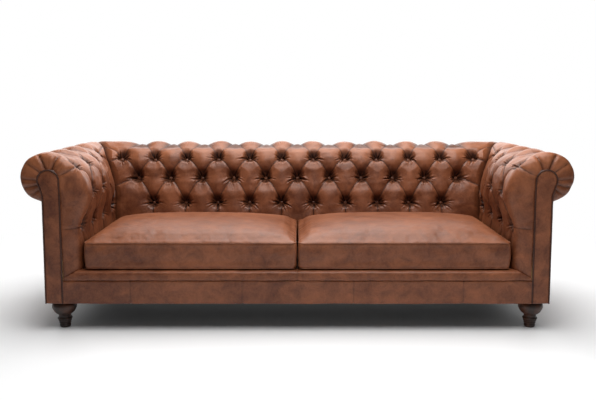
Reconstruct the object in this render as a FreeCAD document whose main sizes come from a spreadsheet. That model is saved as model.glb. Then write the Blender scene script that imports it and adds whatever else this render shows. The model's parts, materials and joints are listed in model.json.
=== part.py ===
# A chesterfield sofa with a tufted back and arms of one height, rolled outwards, two loose seat
# cushions and four turned feet. Every wood part, spring, pad, cover and button is its own solid.
# Axes: +X to the sitter's left as seen from the front, +Y to the back, +Z up. The origin is on
# the floor, under the middle of the sofa. Sizes are in millimetres.
import FreeCAD, Part
import math
import os

import Sketcher

V = FreeCAD.Vector

# Driving dimensions: name, value, what it is.
SIZES = [
    ("roll_reach", 1200, "half the overall width, to the outside of the arm rolls"),
    ("half_depth", 480, "half the overall depth"),
    ("roll_radius", 108, "radius of the padded roll on the arms and the back"),
    ("roll_z", 680, "height of the roll's centre line"),
    ("foot_height", 125, "floor to the underside of the frame"),
    ("foot_x", 1048, "middle of each foot, across"),
    ("foot_front_y", -405, "middle of the front feet"),
    ("foot_back_y", 288, "middle of the back feet"),
    ("board", 28, "thickness of the frame's rails"),
    ("rail_height", 92, "height of the base rails"),
    ("post_width", 70, "width of the arm posts and the corner posts"),
    ("post_outer_x", 1095, "outer face of the posts"),
    ("post_thick", 30, "thickness of the front arm posts"),
    ("head_radius", 44, "radius of the round head of a front arm post"),
    ("head_z", 670, "height of that head's centre"),
    ("facing_thick", 12, "thickness of the padded facing on a front arm post"),
    ("leather", 2, "thickness of a plain leather cover"),
    ("cover_top_z", 570, "top edge of the outside covers, under the roll"),
    ("deck_z", 272, "top of the seat deck, under the cushions"),
    ("cushion_inner_x", 1, "a cushion's inner side, next to the other cushion"),
    ("cushion_outer_x", 937, "a cushion's outer side, next to the arm pad"),
    ("cushion_front_y", -456, "a cushion's front"),
    ("cushion_back_y", 139, "a cushion's back"),
    ("cushion_bottom_z", 273, "a cushion's underside"),
    ("cushion_edge_z", 403, "height of a cushion's upper welt"),
    ("cushion_crown", 68, "how far a cushion's middle stands above its upper welt"),
    ("cover_thick", 2.5, "thickness of a cushion's leather cover"),
    ("button_pitch_back", 168, "distance between the buttons of one row of the back"),
    ("button_pitch_arm", 175, "distance between the buttons of one row of an arm"),
    ("arm_first_button_y", -406, "first upright column of buttons on an arm"),
    ("button_radius", 10, "radius of a tufting button"),
    ("button_thick", 7, "height of a tufting button"),
    ("tuft_depth", 38, "how deep a button sits under the crown of the pad"),
    ("roll_tuft_depth", 22, "the same for the buttons behind the top of the roll"),
    ("seam_depth", 17, "how deep a pleat lies half way between two buttons"),
    ("pleat_depth", 7, "how deep a straight pleat lies"),
    ("wire", 4, "thickness of the zigzag spring wire"),
    ("spring_pitch", 240, "distance between the zigzag springs"),
    ("spring_bar", 30, "straight bar of a zigzag spring between two turns"),
    ("spring_turn", 11, "radius of a zigzag spring's turns"),
    ("strap", 50, "width of the webbing straps"),
]

doc = FreeCAD.newDocument("sofa")
sheet = doc.addObject("Spreadsheet::Sheet", "Sizes")
for row, (alias, value, meaning) in enumerate(SIZES, start=1):
    sheet.set(f"A{row}", alias)
    sheet.set(f"B{row}", str(value))
    sheet.set(f"C{row}", meaning)
    sheet.setAlias(f"B{row}", alias)
doc.recompute()


def size(alias):
    """A driving dimension's value, read back from the sheet."""
    return float(sheet.get(alias))


ROLL_X = size("roll_reach") - size("roll_radius")
ROLL_Y = size("half_depth") - size("roll_radius")
ROLL_Z = size("roll_z")
ROLL_R = size("roll_radius")
GAP = 0.5  # between a pad and what it lies against

sub_parts = []


def keep(obj, label):
    """Names a finished sub-part and puts it on the list that is written out."""
    obj.Label = label
    sub_parts.append(obj)
    return obj


# Plain boards, straps and sheets

def box(label, x, y, z, across, deep, high):
    """A box from its lowest corner and its three sides, each an expression on the sheet."""
    obj = doc.addObject("Part::Box", label)
    for target, rule in (
        ("Length", across),
        ("Width", deep),
        ("Height", high),
        ("Placement.Base.x", x),
        ("Placement.Base.y", y),
        ("Placement.Base.z", z),
    ):
        obj.setExpression(target, str(rule))
    return obj


def kept_box(label, *rules):
    return keep(box(label, *rules), label)


def side_x(side, inner, width):
    """Expression for the lowest x of a box that lies between inner and inner + width from the middle."""
    return f"{inner}" if side > 0 else f"-({inner}) - ({width})"


def fused(label, pieces):
    """Several separate solids of one kind in one node."""
    obj = doc.addObject("Part::Compound", label)
    obj.Links = pieces
    return keep(obj, label)


SIDES = (("left", -1), ("right", 1))
POST_INNER = "Sizes.post_outer_x - Sizes.post_width"
RAIL_TOP = "Sizes.foot_height + Sizes.rail_height"
FRONT_BOARD_Y = "-Sizes.half_depth + Sizes.facing_thick + 1"
CORNER_POST_Y = "Sizes.half_depth - Sizes.roll_radius + 3 - Sizes.post_width"
TOP_RAIL_Z = "Sizes.head_z - 30"
TOP_RAIL_HIGH = 55
TOP_RAIL_DEEP = 85


def make_base_frame():
    """Front, back and side rails, two seat stretchers."""
    rail_span = f"2 * ({POST_INNER})"
    kept_box(
        "front_rail", f"-({POST_INNER})", FRONT_BOARD_Y, "Sizes.foot_height",
        rail_span, "Sizes.board", "Sizes.rail_height",
    )
    kept_box(
        "back_rail", f"-({POST_INNER})", f"{CORNER_POST_Y} + Sizes.post_width - Sizes.board",
        "Sizes.foot_height", rail_span, "Sizes.board", "Sizes.rail_height",
    )
    side_start = f"{FRONT_BOARD_Y} + Sizes.post_thick"
    for name, side in SIDES:
        kept_box(
            f"side_rail_{name}", side_x(side, "Sizes.post_outer_x - Sizes.board", "Sizes.board"),
            side_start, "Sizes.foot_height",
            "Sizes.board", f"{CORNER_POST_Y} - ({side_start})", "Sizes.rail_height",
        )
        kept_box(
            f"seat_stretcher_{name}", side_x(side, "320", "42"),
            f"{FRONT_BOARD_Y} + Sizes.board", "Sizes.foot_height + 8",
            "42", f"{CORNER_POST_Y} + Sizes.post_width - 2 * Sizes.board - ({FRONT_BOARD_Y})", "45",
        )


def make_arm_and_back_frame():
    """Corner posts, top rails inside the rolls, tack rails at deck height and back studs."""
    side_start = f"{FRONT_BOARD_Y} + Sizes.post_thick"
    side_length = f"{CORNER_POST_Y} - ({side_start})"
    for name, side in SIDES:
        kept_box(
            f"corner_post_{name}", side_x(side, POST_INNER, "Sizes.post_width"), CORNER_POST_Y,
            "Sizes.foot_height", "Sizes.post_width", "Sizes.post_width",
            f"{TOP_RAIL_Z} + {TOP_RAIL_HIGH} - Sizes.foot_height",
        )
        kept_box(
            f"arm_top_rail_{name}",
            side_x(side, f"{POST_INNER} + 2", TOP_RAIL_DEEP), side_start, TOP_RAIL_Z,
            TOP_RAIL_DEEP, side_length, TOP_RAIL_HIGH,
        )
        kept_box(
            f"arm_tack_rail_{name}", side_x(side, f"{POST_INNER}", "27"), side_start,
            "Sizes.deck_z + 2", "27", side_length, "40",
        )
    kept_box(
        "back_top_rail", f"-({POST_INNER})", f"{CORNER_POST_Y} + 2", TOP_RAIL_Z,
        f"2 * ({POST_INNER})", TOP_RAIL_DEEP, TOP_RAIL_HIGH,
    )
    kept_box(
        "back_tack_rail", f"-({POST_INNER})", f"{CORNER_POST_Y} + 2", "Sizes.deck_z + 2",
        f"2 * ({POST_INNER})", "26", "40",
    )
    for name, middle in (("left", -512), ("centre", 0), ("right", 512)):
        kept_box(
            f"back_stud_{name}", f"{middle} - 16", f"{CORNER_POST_Y} + 28", RAIL_TOP,
            "32", "Sizes.post_width - 28", f"{TOP_RAIL_Z} - ({RAIL_TOP})",
        )


def make_webbing():
    """Straps of webbing that close the open frame behind the back pad and the arm pads."""
    strap_bottom = "Sizes.deck_z + 5"
    strap_high = f"{TOP_RAIL_Z} + 40 - (Sizes.deck_z + 5)"
    straps = []
    for number in range(-4, 5):
        straps.append(
            box(
                f"back_strap_{number + 4}", f"{number * 205} - Sizes.strap / 2", CORNER_POST_Y,
                strap_bottom, "Sizes.strap", "1.8", strap_high,
            )
        )
    fused("back_webbing", straps)
    for name, side in SIDES:
        straps = []
        for number in range(4):
            straps.append(
                box(
                    f"arm_strap_{name}_{number}", side_x(side, f"{POST_INNER} - 2", "1.8"),
                    f"{FRONT_BOARD_Y} + 110 + {number * 150}", strap_bottom,
                    "1.8", "Sizes.strap", strap_high,
                )
            )
        fused(f"arm_webbing_{name}", straps)


# Pieces with a drawn outline

class Outline:
    """A sketch on one of a body's own origin planes, drawn point by point."""

    def __init__(self, body, plane, label):
        self.sketch = body.newObject("Sketcher::SketchObject", label)
        origin_plane = [f for f in body.Origin.OriginFeatures if f.Role == plane][0]
        self.sketch.AttachmentSupport = (origin_plane, [""])
        self.sketch.MapMode = "FlatFace"

    def line(self, start, end):
        return self.sketch.addGeometry(Part.LineSegment(V(*start, 0), V(*end, 0)), False)

    def arc(self, middle, radius, start_angle, end_angle):
        circle = Part.Circle(V(*middle, 0), V(0, 0, 1), radius)
        return self.sketch.addGeometry(Part.ArcOfCircle(circle, start_angle, end_angle), False)

    def join(self, *ends):
        self.sketch.addConstraint(Sketcher.Constraint("Coincident", *ends))

    def rule(self, kind, *where, value=None, expression=None):
        """A constraint, bound to the sheet if it has an expression."""
        arguments = list(where) + ([value] if value is not None else [])
        number = self.sketch.addConstraint(Sketcher.Constraint(kind, *arguments))
        if expression:
            self.sketch.setExpression(f"Constraints[{number}]", expression)
        return number


START, END, CENTRE = 1, 2, 3
ORIGIN = (-1, 1)


def arm_post(label, side, thick, front, margin):
    """A board with a straight neck and a round head, upright, as seen from the front."""
    body = doc.addObject("PartDesign::Body", label)
    radius = size("head_radius") + margin
    inner = size("post_outer_x") - size("post_width") - margin
    outer = size("post_outer_x") + margin
    middle = inner + radius
    bottom = size("foot_height") - margin
    head_z = size("head_z")
    outline = Outline(body, "XZ_Plane", label + "_outline")
    foot = outline.line((inner, bottom), (outer, bottom))
    reach = math.acos((outer - middle) / radius)
    neck_z = head_z - radius * math.sin(reach)
    outside = outline.line((outer, bottom), (outer, neck_z))
    head = outline.arc((middle, head_z), radius, -reach, math.pi)
    inside = outline.line((inner, head_z), (inner, bottom))
    outline.join(foot, END, outside, START)
    outline.join(outside, END, head, START)
    outline.rule("Tangent", head, END, inside, START)
    outline.join(inside, END, foot, START)
    outline.rule("Horizontal", foot)
    outline.rule("Vertical", outside)
    outline.rule("Radius", head, value=radius, expression=f"Sizes.head_radius + {margin}")
    outline.rule(
        "DistanceX", *ORIGIN, foot, START, value=inner,
        expression=f"Sizes.post_outer_x - Sizes.post_width - {margin}",
    )
    outline.rule(
        "DistanceX", foot, START, foot, END, value=outer - inner,
        expression=f"Sizes.post_width + {2 * margin}",
    )
    outline.rule(
        "DistanceY", *ORIGIN, foot, START, value=bottom, expression=f"Sizes.foot_height - {margin}"
    )
    outline.rule("DistanceY", *ORIGIN, head, CENTRE, value=head_z, expression="Sizes.head_z")
    pad = body.newObject("PartDesign::Pad", label + "_thickness")
    pad.Profile = outline.sketch
    pad.setExpression("Length", thick)
    doc.recompute()
    grown_back = body.Shape.BoundBox.YMax > 1
    if side < 0:
        body.Placement.Rotation = FreeCAD.Rotation(V(0, 0, 1), 180)
        shift = thick if grown_back else "0"
    else:
        shift = "0" if grown_back else thick
    body.setExpression("Placement.Base.y", f"{front} + {shift}")
    return body


def make_front_posts():
    """The front arm posts and the leather-covered facings on them."""
    for name, side in SIDES:
        keep(
            arm_post(f"front_post_{name}", side, "Sizes.post_thick", FRONT_BOARD_Y, 0),
            f"front_post_{name}",
        )
        keep(
            arm_post(
                f"arm_facing_{name}", side, "Sizes.facing_thick", "-Sizes.half_depth", 1
            ),
            f"arm_facing_{name}",
        )


# Half section of a turned foot from the floor up: radius, height, and how far the stretch up to
# here swells out as an arc (0 is a straight line, less than 0 is hollow).
FOOT_SECTION = [
    (21.5, 0, 0),
    (24, 14, 1.5),
    (22, 17, 0),
    (26, 24, 2.0),
    (24.5, 27, 0),
    (29, 34, 2.0),
    (28, 36, 0),
    (28, 46, 4.5),
    (26.5, 49, 0),
    (38, 66, -3.5),
    (50, 84, 1.5),
    (46, 116, 6),
    (45, 125, 0),
]
BOLT_RADIUS = 5
BOLT_IN_FOOT = 40
BOLT_ABOVE = 54
BLOCK_SIDE = 104
BLOCK_HIGH = 40
ENDS = (("front", -1), ("back", 1))


def turned_foot(label, side, end):
    """A turned wooden foot: rings below, a narrow neck and a round bulb under the frame."""
    body = doc.addObject("PartDesign::Body", label)
    outline = Outline(body, "XZ_Plane", label + "_outline")
    curved = []
    for (r1, z1, _), (r2, z2, swell) in zip(FOOT_SECTION, FOOT_SECTION[1:]):
        if swell:
            span = math.hypot(r2 - r1, z2 - z1)
            crest_r = (r1 + r2) / 2 + (z2 - z1) / span * swell
            crest_z = (z1 + z2) / 2 - (r2 - r1) / span * swell
            arc = Part.Arc(V(r1, z1, 0), V(crest_r, crest_z, 0), V(r2, z2, 0))
            curved.append(outline.sketch.addGeometry(arc, False))
        else:
            curved.append(outline.line((r1, z1), (r2, z2)))
    for piece in curved:
        outline.sketch.addConstraint(Sketcher.Constraint("Block", piece))
    top_radius, top_z, _ = FOOT_SECTION[-1]
    bore_z = top_z - BOLT_IN_FOOT
    corners = [
        (top_radius, top_z), (BOLT_RADIUS, top_z), (BOLT_RADIUS, bore_z), (0, bore_z), (0, 0),
        (FOOT_SECTION[0][0], 0),
    ]
    for start, end_point in zip(corners, corners[1:]):
        straight = outline.line(start, end_point)
        outline.sketch.addConstraint(Sketcher.Constraint("Block", straight))
    turned = body.newObject("PartDesign::Revolution", label + "_turned")
    turned.Profile = outline.sketch
    turned.ReferenceAxis = (outline.sketch, ["V_Axis"])
    turned.Angle = 360
    middle_y = "Sizes.foot_front_y" if end < 0 else "Sizes.foot_back_y"
    body.setExpression("Placement.Base.x", f"{side} * Sizes.foot_x")
    body.setExpression("Placement.Base.y", middle_y)
    body.setExpression("Placement.Base.z", f"Sizes.foot_height - {top_z}")
    return body


def corner_block(label, side, end):
    """A wooden block in a corner of the base frame, bored for the foot's bolt."""
    body = doc.addObject("PartDesign::Body", label)
    wall_x = size("post_outer_x") - size("board") - GAP
    if end < 0:
        wall_y = -size("half_depth") + size("facing_thick") + 1 + size("post_thick") + GAP
        foot_y = size("foot_front_y")
    else:
        wall_y = size("half_depth") - size("roll_radius") + 3 - size("post_width") - GAP
        foot_y = size("foot_back_y")
    outline = Outline(body, "XY_Plane", label + "_outline")
    short = BLOCK_SIDE * 0.45
    corners = [
        (0, 0), (BLOCK_SIDE, 0), (BLOCK_SIDE, short), (short, BLOCK_SIDE), (0, BLOCK_SIDE),
    ]
    for across, deep in zip(corners, corners[1:] + corners[:1]):
        start = (side * (wall_x - across[0]), wall_y - end * across[1])
        stop = (side * (wall_x - deep[0]), wall_y - end * deep[1])
        edge = outline.line(start, stop)
        outline.sketch.addConstraint(Sketcher.Constraint("Block", edge))
    pad = body.newObject("PartDesign::Pad", label + "_thickness")
    pad.Profile = outline.sketch
    pad.Length = BLOCK_HIGH
    bore = Outline(body, "XY_Plane", label + "_bore_outline")
    middle = V(side * size("foot_x"), foot_y, 0)
    circle = bore.sketch.addGeometry(Part.Circle(middle, V(0, 0, 1), BOLT_RADIUS + GAP))
    bore.sketch.addConstraint(Sketcher.Constraint("Block", circle))
    doc.recompute()
    whole = body.Shape.Volume
    pocket = body.newObject("PartDesign::Pocket", label + "_bore")
    pocket.Profile = bore.sketch
    pocket.Type = 1
    pocket.Reversed = True
    doc.recompute()
    if body.Shape.Volume > whole - 1:
        raise RuntimeError(f"{label}: the bore cuts nothing")
    body.setExpression("Placement.Base.z", "Sizes.foot_height")
    return body


def foot_bolt(label, side, end):
    """The bolt that holds a foot, with a washer and a nut on top of the corner block."""
    obj = doc.addObject("Part::Feature", label)
    bolt = Part.makeCylinder(BOLT_RADIUS - 0.1, BOLT_IN_FOOT + BOLT_ABOVE - 0.2)
    block_top = BOLT_IN_FOOT + BLOCK_HIGH
    washer = Part.makeCylinder(8.5, 2, V(0, 0, block_top))
    rim = [V(8 * math.cos(math.radians(t)), 8 * math.sin(math.radians(t)), block_top + 2)
           for t in range(0, 361, 60)]
    nut = Part.Face(Part.makePolygon(rim)).extrude(V(0, 0, 8))
    obj.Shape = bolt.fuse([washer, nut]).removeSplitter()
    middle_y = size("foot_front_y") if end < 0 else size("foot_back_y")
    bottom = size("foot_height") - BOLT_IN_FOOT + 0.2
    obj.Placement = FreeCAD.Placement(
        V(side * size("foot_x"), middle_y, bottom), FreeCAD.Rotation()
    )
    return obj


def make_feet():
    for end_name, end in ENDS:
        for side_name, side in SIDES:
            corner = f"{end_name}_{side_name}"
            keep(corner_block(f"corner_block_{corner}", side, end), f"corner_block_{corner}")
            keep(turned_foot(f"foot_{corner}", side, end), f"foot_{corner}")
            keep(foot_bolt(f"foot_bolt_{corner}", side, end), f"foot_bolt_{corner}")


def feature(label, shape):
    """A sub-part whose shape is worked out here."""
    obj = doc.addObject("Part::Feature", label)
    obj.Shape = shape
    return keep(obj, label)


# Spring deck

def zigzag_path(x, front, bars, z):
    """A flat zigzag of bars along X joined by half circles, from the front bar to the back one."""
    half_bar = size("spring_bar") / 2
    turn = size("spring_turn")
    edges = []
    for number in range(bars):
        way = 1 if number % 2 == 0 else -1
        y = front + number * 2 * turn
        start = V(x - way * half_bar, y, z)
        stop = V(x + way * half_bar, y, z)
        edges.append(Part.makeLine(start, stop))
        if number < bars - 1:
            crest = V(x + way * (half_bar + turn), y + turn, z)
            after = V(stop.x, y + 2 * turn, z)
            edges.append(Part.Arc(stop, crest, after).toShape())
    return Part.Wire(edges)


def make_spring_deck():
    """Zigzag springs from the front rail to the back rail, their clips, three tie wires, and the
    hessian, foam and cover on top."""
    rail_top = size("foot_height") + size("rail_height")
    front = -size("half_depth") + size("facing_thick") + 1 + size("board") - 8
    back_rail_front = ROLL_Y + 3 - size("board")
    bars = math.ceil((back_rail_front + 8 - front) / (2 * size("spring_turn"))) + 1
    radius = size("wire") / 2
    clip_plate = 1.5
    wire_z = rail_top + clip_plate + radius + 0.1
    path = zigzag_path(0, front, bars, wire_z)
    first = V(-size("spring_bar") / 2, front, wire_z)
    ring = Part.Wire(Part.makeCircle(radius, first, V(1, 0, 0)))
    spring = path.makePipeShell([ring], True, True)
    back = front + (bars - 1) * 2 * size("spring_turn")
    places = [side * (step + 0.5) * size("spring_pitch") for side in (-1, 1) for step in range(4)]
    feature(
        "seat_springs",
        Part.makeCompound([spring.translated(V(x, 0, 0)) for x in places]),
    )
    clips = []
    for x in places:
        for y, mouth in ((front, 1), (back, -1)):
            outer = Part.makeBox(16, 12, 8, V(x - 8, y - 6, rail_top))
            space = V(x - 9, y - 3 if mouth > 0 else y - 10, rail_top + clip_plate)
            clips.append(outer.cut(Part.makeBox(18, 13, size("wire") + 0.8, space)))
    feature("spring_clips", Part.makeCompound(clips))
    tie_z = wire_z + radius + 1.6
    ties = [
        Part.makeCylinder(1.5, 2 * 880, V(-880, y, tie_z), V(1, 0, 0)) for y in (-270, -40, 190)
    ]
    feature("spring_ties", Part.makeCompound(ties))
    cloth_z = f"{RAIL_TOP} + 9"
    deck_back = f"{CORNER_POST_Y} + 25"
    wide = f"2 * ({POST_INNER} - 5)"
    left_edge = f"-({POST_INNER} - 5)"
    kept_box(
        "seat_hessian", left_edge, f"{FRONT_BOARD_Y} + 2", cloth_z,
        wide, f"{deck_back} - ({FRONT_BOARD_Y} + 2)", "1",
    )
    inside_lip = "-Sizes.half_depth + 58"
    kept_box(
        "deck_foam", left_edge, inside_lip, f"{cloth_z} + 1.2",
        wide, f"{deck_back} - ({inside_lip})", f"Sizes.deck_z - 2.2 - ({cloth_z} + 1.2)",
    )
    kept_box(
        "deck_cover", left_edge, inside_lip, "Sizes.deck_z - 2",
        wide, f"{deck_back} - ({inside_lip})", "2",
    )


def make_covers():
    """The padded lip and the border of the front, the outside covers and the dust cover."""
    low = size("foot_height") + size("rail_height") + 10.5
    high = size("deck_z")
    front = -size("half_depth") + 2
    back = -size("half_depth") + 57
    round_y = front + (high - low) / 2
    edges = [
        Part.makeLine(V(0, back, low), V(0, round_y, low)),
        Part.Arc(
            V(0, round_y, low), V(0, front, (low + high) / 2), V(0, round_y, high)
        ).toShape(),
        Part.makeLine(V(0, round_y, high), V(0, back, high)),
        Part.makeLine(V(0, back, high), V(0, back, low)),
    ]
    half = size("post_outer_x") - size("post_width") - 3
    profile = Part.Face(Part.Wire(edges))
    profile.translate(V(-half, 0, 0))
    feature("front_lip", profile.extrude(V(2 * half, 0, 0)))
    kept_box(
        "front_border", f"-({POST_INNER} - 3)", f"{FRONT_BOARD_Y} - 6", "Sizes.foot_height - 1",
        f"2 * ({POST_INNER} - 3)", "5", f"{RAIL_TOP} + 9.5 - (Sizes.foot_height - 1)",
    )
    cover_high = "Sizes.cover_top_z - Sizes.foot_height"
    behind = "Sizes.half_depth - Sizes.roll_radius + 3"
    for name, side in SIDES:
        kept_box(
            f"outside_arm_{name}", side_x(side, "Sizes.post_outer_x + 0.5", "Sizes.leather"),
            f"{FRONT_BOARD_Y} + 1", "Sizes.foot_height",
            "Sizes.leather", f"{behind} - ({FRONT_BOARD_Y} + 1)", cover_high,
        )
    kept_box(
        "outside_back", "-Sizes.post_outer_x", f"{behind} + 0.5", "Sizes.foot_height",
        "2 * Sizes.post_outer_x", "Sizes.leather", cover_high,
    )
    sheet_box = box(
        "dust_sheet", "-Sizes.post_outer_x + 6", f"{FRONT_BOARD_Y} + 6", "Sizes.foot_height - 1.2",
        "2 * (Sizes.post_outer_x - 6)", f"{behind} - 6 - ({FRONT_BOARD_Y} + 6)", "1",
    )
    clearances = []
    for end_name, end in ENDS:
        for side_name, side in SIDES:
            hole = doc.addObject("Part::Cylinder", f"dust_hole_{end_name}_{side_name}")
            hole.Radius = 47.5
            hole.Height = 10
            middle_y = "Sizes.foot_front_y" if end < 0 else "Sizes.foot_back_y"
            hole.setExpression("Placement.Base.x", f"{side} * Sizes.foot_x")
            hole.setExpression("Placement.Base.y", middle_y)
            hole.setExpression("Placement.Base.z", "Sizes.foot_height - 6")
            clearances.append(hole)
    holes = doc.addObject("Part::MultiFuse", "dust_holes")
    holes.Shapes = clearances
    cut = doc.addObject("Part::Cut", "dust_cover")
    cut.Base = sheet_box
    cut.Tool = holes
    keep(cut, "dust_cover")


# Tufted pads of the back and the arms. A section of a pad has two coordinates: a, counted from the
# roll's centre line towards the seat, and z. Its outer edge where the pillows are fullest is the
# crown line. It starts at the tack line under the roll, goes round the outside and over the top,
# and comes down to the deck. The points of the two lists follow those of the roll.
ROLL_TURNS = (-96.4, -135, -180, -225, -270)
ARM_CROWN = [
    (60, 775), (110, 752), (150, 715), (171, 665), (184, 607), (171, 540), (151, 460), (144, 395),
]
BACK_CROWN = [
    (60, 772), (100, 750), (135, 712), (154, 662), (169, 607), (188, 540), (204, 478), (213, 400),
]
ARM_BOTTOM = 143
BACK_BOTTOM = 220
ROW_0, ROW_1, ROW_2, ROW_3, LAST = 3, 7, 9, 11, 13
SEAT_HALF = 11  # half the place that a button sits on
SEAT_DISH = 0.4  # how far the middle of that place is hollow
BUTTON_CLEAR = 0.3  # between a button and that place


class CrownLine:
    """The crown line of an arm's pad (arm_share 1), of the back's (0), or a blend of the two."""

    def __init__(self, arm_share):
        bottom = size("deck_z") + 1
        arm = ARM_CROWN + [(ARM_BOTTOM, bottom)]
        back = BACK_CROWN + [(BACK_BOTTOM, bottom)]
        points = []
        for turn in ROLL_TURNS:
            angle = math.radians(turn)
            points.append(V(ROLL_R * math.cos(angle), 0, ROLL_Z + ROLL_R * math.sin(angle)))
        for (arm_a, arm_z), (back_a, back_z) in zip(arm, back):
            a = arm_share * arm_a + (1 - arm_share) * back_a
            z = arm_share * arm_z + (1 - arm_share) * back_z
            points.append(V(a, 0, z))
        self.curve = Part.BSplineCurve()
        self.curve.interpolate(Points=points, Parameters=[float(n) for n in range(len(points))])

    def at(self, where, depth):
        """a and z of the point this deep under the crown line."""
        point = self.curve.value(where)
        along = self.curve.tangent(where)[0]
        return point.x + along.z * depth, point.z - along.x * depth

    def outward(self, where):
        along = self.curve.tangent(where)[0]
        return -along.z, along.x

    def beside(self, row, distance, depth):
        """The place on the line whose point at this depth is this far from a row's button."""
        near = [math.dist(self.at(row, depth), self.at(row + step, depth)) for step in (-0.1, 0.1)]
        return row + distance * 0.2 / sum(near)


def tuft_depth(row):
    return size("roll_tuft_depth") if row == ROW_0 else size("tuft_depth")


def pad_marks(kind, line):
    """Where one section's arcs start and end on the crown line, with their depth, and how deep
    the middle of each arc is. Odd sections pass through the buttons of rows 1 and 3, even ones
    through rows 0 and 2, middle ones between them, and plain ones pass no button."""
    seam = size("seam_depth")
    pleat = size("pleat_depth")
    seat = tuft_depth(ROW_1) + SEAT_DISH
    roll_seat = tuft_depth(ROW_0) + SEAT_DISH

    def pair(row):
        depth = tuft_depth(row)
        return [(line.beside(row, way * SEAT_HALF, depth), depth) for way in (-1, 1)]

    if kind == "odd":
        marks = [(ROW_0, 0)] + pair(ROW_1) + pair(ROW_3)
        middles = [0, 0, seat, 0, seat, 0]
    elif kind == "odd top":
        marks = [(ROW_0, 0)] + pair(ROW_1) + [(10, 0), (11.7, 0)]
        middles = [0, 0, seat, 0, 0, 0]
    elif kind == "even":
        marks = pair(ROW_0) + pair(ROW_2) + [(12, 0)]
        middles = [0, roll_seat, 0, seat, 0, 0]
    elif kind == "middle":
        marks = [(2, 0), (5, seam), (8, seam), (10, seam), (11.7, pleat)]
        middles = [0] * 6
    else:
        marks = [(2.5, 0), (5, pleat), (8, pleat), (10, pleat), (11.7, 0)]
        middles = [0] * 6
    return [(0, 0)] + marks + [(LAST, 0)], middles


def frame_side():
    """The pad's inner edge in a section, from the deck up, over the top rail and down to the tack
    line: it clears the posts, their round heads and the top rails."""
    clear = 3
    inner = ROLL_X - size("post_outer_x") + size("post_width") + clear
    outer = ROLL_X - size("post_outer_x") - clear
    head_a = ROLL_X - size("post_outer_x") + size("post_width") - size("head_radius")
    head_z = size("head_z")
    reach = size("head_radius") + clear
    return [
        (inner, size("deck_z") + 1),
        (inner, head_z + 28),
        (inner - 20, head_z + reach + 1),
        (0, head_z + reach),
        (head_a - reach, head_z + 25),
        (head_a - reach, head_z - 25),
        (outer, head_z - 58),
        (outer, head_z - 92),
    ]


def drawn_in(a, z, fullness):
    """A point of the pad's outer edge, drawn in towards the post's outline."""
    clear = 3
    radius = size("head_radius")
    head_a = ROLL_X - size("post_outer_x") + size("post_width") - radius
    head_z = size("head_z")
    if z >= head_z or (a < head_a and z > head_z - 36):
        far = math.hypot(a - head_a, z - head_z)
        near_a = head_a + (a - head_a) / far * (radius + clear)
        near_z = head_z + (z - head_z) / far * (radius + clear)
    elif a >= head_a:
        near_a, near_z = head_a + radius + clear, z
    else:
        near_a, near_z = ROLL_X - size("post_outer_x") - clear, z
    return near_a + fullness * (a - near_a), near_z + fullness * (z - near_z)


def pad_section(kind, line, place, fullness=1.0):
    """One closed section of a pad. place turns a and z into a point of the sofa."""
    marks, middles = pad_marks(kind, line)
    outer = [place(*drawn_in(*line.at(where, depth), fullness)) for where, depth in marks]
    edges = []
    for number, depth in enumerate(middles):
        halfway = (marks[number][0] + marks[number + 1][0]) / 2
        crest = place(*drawn_in(*line.at(halfway, depth), fullness))
        edges.append(Part.Arc(outer[number], crest, outer[number + 1]).toShape())
    inner = [outer[-1]] + [place(a, z) for a, z in frame_side()] + [outer[0]]
    edges += [Part.makeLine(p, q) for p, q in zip(inner, inner[1:])]
    return Part.Wire(edges)


def seat_stations(odd_columns, even_columns):
    """Sections of the straight part of a pad: two beside each button, one between two columns."""
    stations = []
    columns = sorted([(c, "odd") for c in odd_columns] + [(c, "even") for c in even_columns])
    for number, (column, kind) in enumerate(columns):
        stations.append((column - SEAT_HALF, kind))
        stations.append((column + SEAT_HALF, kind))
        if number + 1 < len(columns):
            stations.append(((column + columns[number + 1][0]) / 2, "middle"))
    return stations


def button(where, direction):
    """A leather-covered button: a low dome on a short rim."""
    radius = size("button_radius")
    high = size("button_thick")
    rim = high * 0.35
    shoulder = V(radius * 0.64, 0, rim + (high - rim) * 0.68)
    edges = [
        Part.makeLine(V(0, 0, 0), V(0, 0, high)),
        Part.Arc(V(0, 0, high), shoulder, V(radius, 0, rim)).toShape(),
        Part.makeLine(V(radius, 0, rim), V(radius, 0, 0)),
        Part.makeLine(V(radius, 0, 0), V(0, 0, 0)),
    ]
    dome = Part.Face(Part.Wire(edges)).revolve(V(0, 0, 0), V(0, 0, 1), 360)
    dome.Placement = FreeCAD.Placement(where, FreeCAD.Rotation(V(0, 0, 1), direction))
    return dome


def buttons_in_section(line, place, rows):
    """The buttons of one column."""
    made = []
    for row in rows:
        a, z = line.at(row, tuft_depth(row) - BUTTON_CLEAR)
        out_a, out_z = line.outward(row)
        where = place(a, z)
        made.append(button(where, place(a + out_a, z + out_z) - where))
    return made


def corner_button(turned, side):
    """The last button of row 1, which faces squarely out of the bent surface near the mitre."""
    step = 0.1

    def seat(share, row):
        a, z = CrownLine(share).at(row, tuft_depth(ROW_1) - BUTTON_CLEAR)
        return turned(side, share)(a, z)

    across = seat(CORNER_BUTTON + step, ROW_1) - seat(CORNER_BUTTON - step, ROW_1)
    down = seat(CORNER_BUTTON, ROW_1 + step) - seat(CORNER_BUTTON, ROW_1 - step)
    return button(seat(CORNER_BUTTON, ROW_1), down.cross(across) * side)


def solid_loft(sections):
    pad = Part.makeLoft(sections, True, True)
    if pad.Volume < 0:
        pad.reverse()
    return pad


# How full the arm's pad is near its front, where it is drawn in round the post's facing:
# distance behind the pad's front end, and the share of the full thickness.
ARM_FRONT = [(0, 0.35), (8, 0.65), (21, 0.86), (36, 0.97)]


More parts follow.
